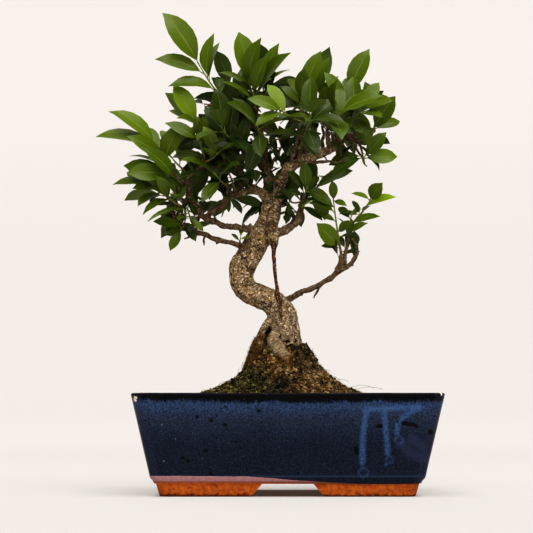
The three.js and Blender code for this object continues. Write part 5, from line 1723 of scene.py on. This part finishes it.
def add_moss_piece(name, feet, out, scale, tones, rng, finish):
    """A piece of three-sided spikes, one at each foot, leaning at random from a direction."""
    count = len(feet)
    out = units(units(out) + rng.normal(0, FIBRE_LEAN, out.shape))
    side = units(np.cross(out, rng.normal(size=out.shape)))
    other = np.cross(out, side)
    length = (rng.gamma(3.0, 0.55, count) * scale + 0.5)[:, None]
    width = rng.uniform(0.12, 0.24, count)[:, None]
    corners = [feet + (side * math.cos(turn) + other * math.sin(turn)) * width for turn in SPIKE_TURNS]
    points = np.stack(corners + [feet + out * length], 1).reshape(-1, 3)
    spike = ((2, 1, 0), (0, 1, 3), (1, 2, 3), (2, 0, 3))
    faces = [tuple(4 * i + k for k in face) for i in range(count) for face in spike]
    coloured_piece(name, points, faces, np.repeat(tones, 4, axis=0), finish)


def soil_bed(finish):
    """A fine grid laid over the ground, and closed down to the pot's floor."""
    half_x, half_y = (half - BED_INSET for half in POT_HALF)
    columns, rows = BED_GRID
    bed = primitive("grid", x_subdivisions=columns, y_subdivisions=rows, size=2, location=(0, 0, 0))
    points = points_of(bed.data)
    x, y = points[:, 0] * half_x, points[:, 1] * half_y
    over_x = np.clip(np.abs(x) - (half_x - BED_CORNER), 0, None)
    over_y = np.clip(np.abs(y) - (half_y - BED_CORNER), 0, None)
    both = (over_x > 0) & (over_y > 0)
    pull = np.where(both, np.maximum(over_x, over_y) / np.maximum(np.hypot(over_x, over_y), 1e-9), 1)
    x = np.sign(x) * np.where(both, half_x - BED_CORNER + over_x * pull, np.abs(x))
    y = np.sign(y) * np.where(both, half_y - BED_CORNER + over_y * pull, np.abs(y))
    put_points(bed.data, in_place(np.stack([x, y, ground(x, y)], 1)))
    pick_only(bed)
    bpy.ops.object.mode_set(mode="EDIT")
    bpy.ops.mesh.select_all(action="SELECT")
    bpy.ops.mesh.normals_make_consistent(inside=False)
    bpy.ops.mesh.extrude_region_move(TRANSFORM_OT_translate={"value": (0, 0, -20 * MM)})
    floor = place(0, 0, POT_LEVELS["floor"] + 1.8)
    shares = [(half - FOOT_INSET + 1) / half for half in (half_x, half_y)]
    bpy.ops.transform.resize(value=(1, 1, 0), center_override=floor)
    bpy.ops.transform.resize(value=(*shares, 1), center_override=floor)
    face_outwards()
    x, y, z = on_table(points_of(bed.data)).T
    colours = moss_colours(x, y, z, draws("bed"), 0.25)
    put_attribute(bed.data, "moss", colours * BED_SHADE)
    bpy.ops.object.shade_smooth()
    settle(bed, "soil_bed", "moss", [finish], "soil")


def scattered(rng, count, power=0.7):
    """Seeded places on the ground, denser on the mound."""
    found = np.zeros((0, 2))
    while len(found) < count:
        x, y = (rng.uniform(-half, half, count * 2) for half in SCATTER_HALF)
        radius = np.hypot(x - MOUND_X, y / MOUND_SQUASH)
        keep = rng.uniform(0, 1, len(x)) < np.clip(1.5 - radius / 78, 0.16, 1) ** power
        found = np.concatenate([found, np.stack([x, y], 1)[keep & (radius > BARE_MIDDLE)]])
    return found[:count]


def moss_crumbs(settings, finish):
    """Small uneven crumbs of peat, bark and moss cushions, copied from one ball."""
    rng = draws("crumbs")
    ball = primitive("ico_sphere", subdivisions=1, radius=1, location=(0, 0, 0))
    shape = points_of(ball.data)
    shell = [tuple(face.vertices) for face in ball.data.polygons]
    bpy.data.objects.remove(ball)
    places = scattered(rng, settings.crumbs)
    x, y = places.T
    z = ground(x, y)
    tones = moss_colours(x, y, z, rng, 1.0)
    kind = rng.uniform(0, 1, len(x))
    tones[kind < BRIGHT_CRUMBS, :3] = BRIGHT_TONE
    tones[kind > 1 - DARK_CRUMBS, :3] *= DARK_TONE
    for part in range(CRUMB_PIECES):
        points, faces, colours = [], [], []
        for i in range(part, len(x), CRUMB_PIECES):
            size = rng.uniform(0.45, 1.3) * rng.uniform(0.6, 1.7)
            turn = Matrix.Rotation(rng.uniform(0, 6.28), 3, rng.normal(size=3))
            stretch = (size * rng.uniform(0.8, 1.6), size * rng.uniform(0.5, 1), size * 0.8)
            made = shape * rng.uniform(0.72, 1.25, (len(shape), 1)) * stretch
            made = made @ np.array(turn) + (x[i], y[i], z[i] + size * 0.45)
            add_body(points, faces, made, shell)
            colours += [tones[i]] * len(made)
        coloured_piece(f"moss_crumbs_{part + 1}", points, faces, colours, finish)


def moss_fibres(settings, finish):
    """Thin pointed moss fibres out of the ground, and a few long dry hairs."""
    rng = draws("fibres")
    places = scattered(rng, settings.fibres, 1.3)
    x, y = places.T
    z = ground(x, y)
    step = 2.0
    slope = np.stack([(ground_height(x + step, y) - ground_height(x - step, y)) / (2 * step),
                      (ground_height(x, y + step) - ground_height(x, y - step)) / (2 * step)], 1)
    out = np.concatenate([-slope, np.ones((len(x), 1))], 1)
    feet = np.stack([x, y, z - 0.3], 1)
    add_moss_piece("moss_fibres", feet, out, 1.0, moss_colours(x, y, z, rng, 0.8), rng, finish)
    points, faces, colours = [], [], []
    for bend in HAIRS:
        line = bezier_line(*[np.array(point, float) for point in bend], HAIR_STEPS)
        made, quads = tube(line, np.full(HAIR_STEPS + 1, HAIR_RADIUS), 3)
        add_body(points, faces, made, quads)
        colours += [HAIR_TONE] * len(made)
    coloured_piece("dry_hairs", points, faces, colours, finish)


class BONSAI_OT_spread_soil(bpy.types.Operator):
    """Model the soil with its mound, and scatter crumbs, moss fibres and dry hairs over it"""

    bl_idname = "bonsai.spread_soil"
    bl_label = "Spread Soil"

    def execute(self, context):
        settings = context.scene.bonsai_moss
        finish = moss_finish(settings)
        soil_bed(finish)
        moss_crumbs(settings, finish)
        moss_fibres(settings, finish)
        return {"FINISHED"}


def moss_finish(settings):
    """Peat, soil and moss in the piece's own colours, broken up finely."""
    material, wires, at = new_finish("Moss and soil", 0.9, 0.12)
    fine = wires.noise(at, 0.9, 5.0, 0.8)
    own = wires.attribute("moss", "Color")
    dark = wires.blend(0.85, own, settings.soil)
    light = wires.blend(0.22, own, settings.rust)
    colour = wires.blend(wires.between(fine, 0.38, 0.56), dark, own)
    colour = wires.blend(wires.between(fine, 0.62, 0.74, 0.0, 0.6), colour, light)
    wires.dress(colour, fine, 1.2 * MM, wires.times_plus(fine, 0.2, 0.75))
    return material


# ---- stage


def paper_sweep(settings):
    """A sheet of pale paper whose back edge is spun up into a wall."""
    paper = primitive("plane", (9, 5.2, 1), size=1, location=(0, -0.6, 0))
    paper.name = "studio_paper"
    back = max(v.co.y for v in paper.data.vertices)
    bpy.ops.object.mode_set(mode="EDIT")
    pick_parts(paper, "edges", lambda edge: all(v.co.y > back - 0.001 for v in edge.verts))
    bpy.ops.mesh.spin(steps=48, angle=-math.pi / 2, center=(0, back, SWEEP_BEND), axis=(1, 0, 0))
    bpy.ops.mesh.extrude_region_move(TRANSFORM_OT_translate={"value": (0, 0, 3)})
    bpy.ops.mesh.select_all(action="SELECT")
    bpy.ops.mesh.remove_doubles(threshold=0.001)
    face_outwards(inside=True)
    top = max((v.co for v in paper.data.vertices), key=lambda co: co.z)
    if top.z < SWEEP_BEND + 2 or top.y < back + 1:
        raise RuntimeError("the paper is not bent up and back")
    bpy.ops.object.shade_smooth()
    paper.data.materials.append(paper_finish(settings))


def paper_finish(settings):
    """Pale paper, faintly mottled, that gives off light by itself, most at the top, none under the pot."""
    material, wires, at = new_finish("Paper", 0.9, 0.1)
    shader = material.node_tree.nodes["Principled BSDF"]
    _, depth, height = wires.parts(at)
    low = [c * 0.985 for c in settings.floor[:3]]
    wall = [c * settings.wall_tone for c in settings.floor[:3]]
    sheet = wires.blend(wires.noise(at, 400.0, 2.0), settings.floor, low)
    sheet = wires.blend(wires.between(depth, 200.0, 1500.0, 0.0, 0.10), sheet, (0, 0, 0))
    rise = wires.math("POWER", wires.between(height, 100.0, 1000.0), 1.6)
    glow = wires.blend(rise, settings.lift, settings.glow)
    aside = [wires.math("SUBTRACT", wires.math("ABSOLUTE", way), half - FOOT_INSET)
             for way, half in zip(wires.parts(at), POT_HALF)]
    uncovered = wires.between(wires.larger(*aside), -12.0, 6.0)
    wires.feed(shader.inputs["Base Color"], wires.blend(wires.between(height, 0.0, 70.0), sheet, wall))
    wires.feed(shader.inputs["Emission Color"], wires.blend(uncovered, (0.055, 0.044, 0.035), glow))
    shader.inputs["Emission Strength"].default_value = 1.0
    return material


def studio_lights(settings):
    """A wide soft light from above, a little towards the camera and the right, and a weak one in front."""
    rows = [
        ("Key", Vector((0.08, -0.45, 1.0)), settings.key_spread, settings.key_power),
        ("Fill", Vector((0.10, -1.0, 0.30)), settings.fill_spread, settings.fill_power),
    ]
    for name, towards, spread, power in rows:
        light = bpy.data.lights.new(name, "SUN")
        light.angle = spread
        light.energy = power
        light.color = settings.light
        piece = linked(name, light)
        piece.location = towards * 3
        piece.rotation_euler = towards.to_track_quat("Z", "Y").to_euler()


def studio_camera(settings):
    """The camera at the photograph's viewing angle."""
    camera = bpy.data.cameras.new("Camera")
    camera.sensor_width = 36
    camera.lens = settings.lens
    camera.clip_start = 0.05
    camera.clip_end = 50
    piece = linked("Camera", camera)
    piece.location = (POT_MIDDLE.x - settings.camera_side, POT_MIDDLE.y - settings.camera_distance,
                      settings.camera_height)
    piece.rotation_euler = (math.pi / 2 + settings.tilt, 0, 0)
    bpy.context.scene.camera = piece


class BONSAI_OT_set_stage(bpy.types.Operator):
    """Lay the pale floor and backdrop, and set the lights and the camera"""

    bl_idname = "bonsai.set_stage"
    bl_label = "Set Stage"

    def execute(self, context):
        settings = context.scene.bonsai_stage
        paper_sweep(settings)
        studio_lights(settings)
        studio_camera(settings)
        world = bpy.data.worlds.new("Studio")
        world.use_nodes = True
        background = world.node_tree.nodes["Background"]
        background.inputs["Color"].default_value = (1.0, 0.99, 0.98, 1)
        background.inputs["Strength"].default_value = settings.ambient
        context.scene.world = world
        context.scene.view_settings.view_transform = "Standard"
        context.scene.view_settings.look = "High Contrast"
        return {"FINISHED"}


# ---- panel and running


class BONSAI_PT_panel(bpy.types.Panel):
    """The steps that model the bonsai, and their settings"""

    bl_idname = "BONSAI_PT_panel"
    bl_label = "Fig Bonsai"
    bl_space_type = "VIEW_3D"
    bl_region_type = "UI"
    bl_category = "Bonsai"

    def draw(self, context):
        for step in STEPS:
            self.layout.operator(step.bl_idname)
        for name, group in SETTINGS.items():
            box = self.layout.box()
            box.label(text=group.__doc__)
            for key in group.__annotations__:
                box.prop(getattr(context.scene, name), key)


STEPS = [
    BONSAI_OT_set_stage,
    BONSAI_OT_throw_pot,
    BONSAI_OT_spread_soil,
    BONSAI_OT_grow_wood,
    BONSAI_OT_unfold_leaves,
]


def register():
    for group in SETTINGS.values():
        bpy.utils.register_class(group)
    for name, group in SETTINGS.items():
        setattr(bpy.types.Scene, name, PointerProperty(type=group))
    for step in STEPS:
        bpy.utils.register_class(step)
    bpy.utils.register_class(BONSAI_PT_panel)


def unregister():
    bpy.utils.unregister_class(BONSAI_PT_panel)
    for step in reversed(STEPS):
        bpy.utils.unregister_class(step)
    for name, group in SETTINGS.items():
        delattr(bpy.types.Scene, name)
        bpy.utils.unregister_class(group)


def main():
    register()
    for step in STEPS:
        group, name = step.bl_idname.split(".")
        getattr(getattr(bpy.ops, group), name)()


if __name__ == "__main__":
    main()
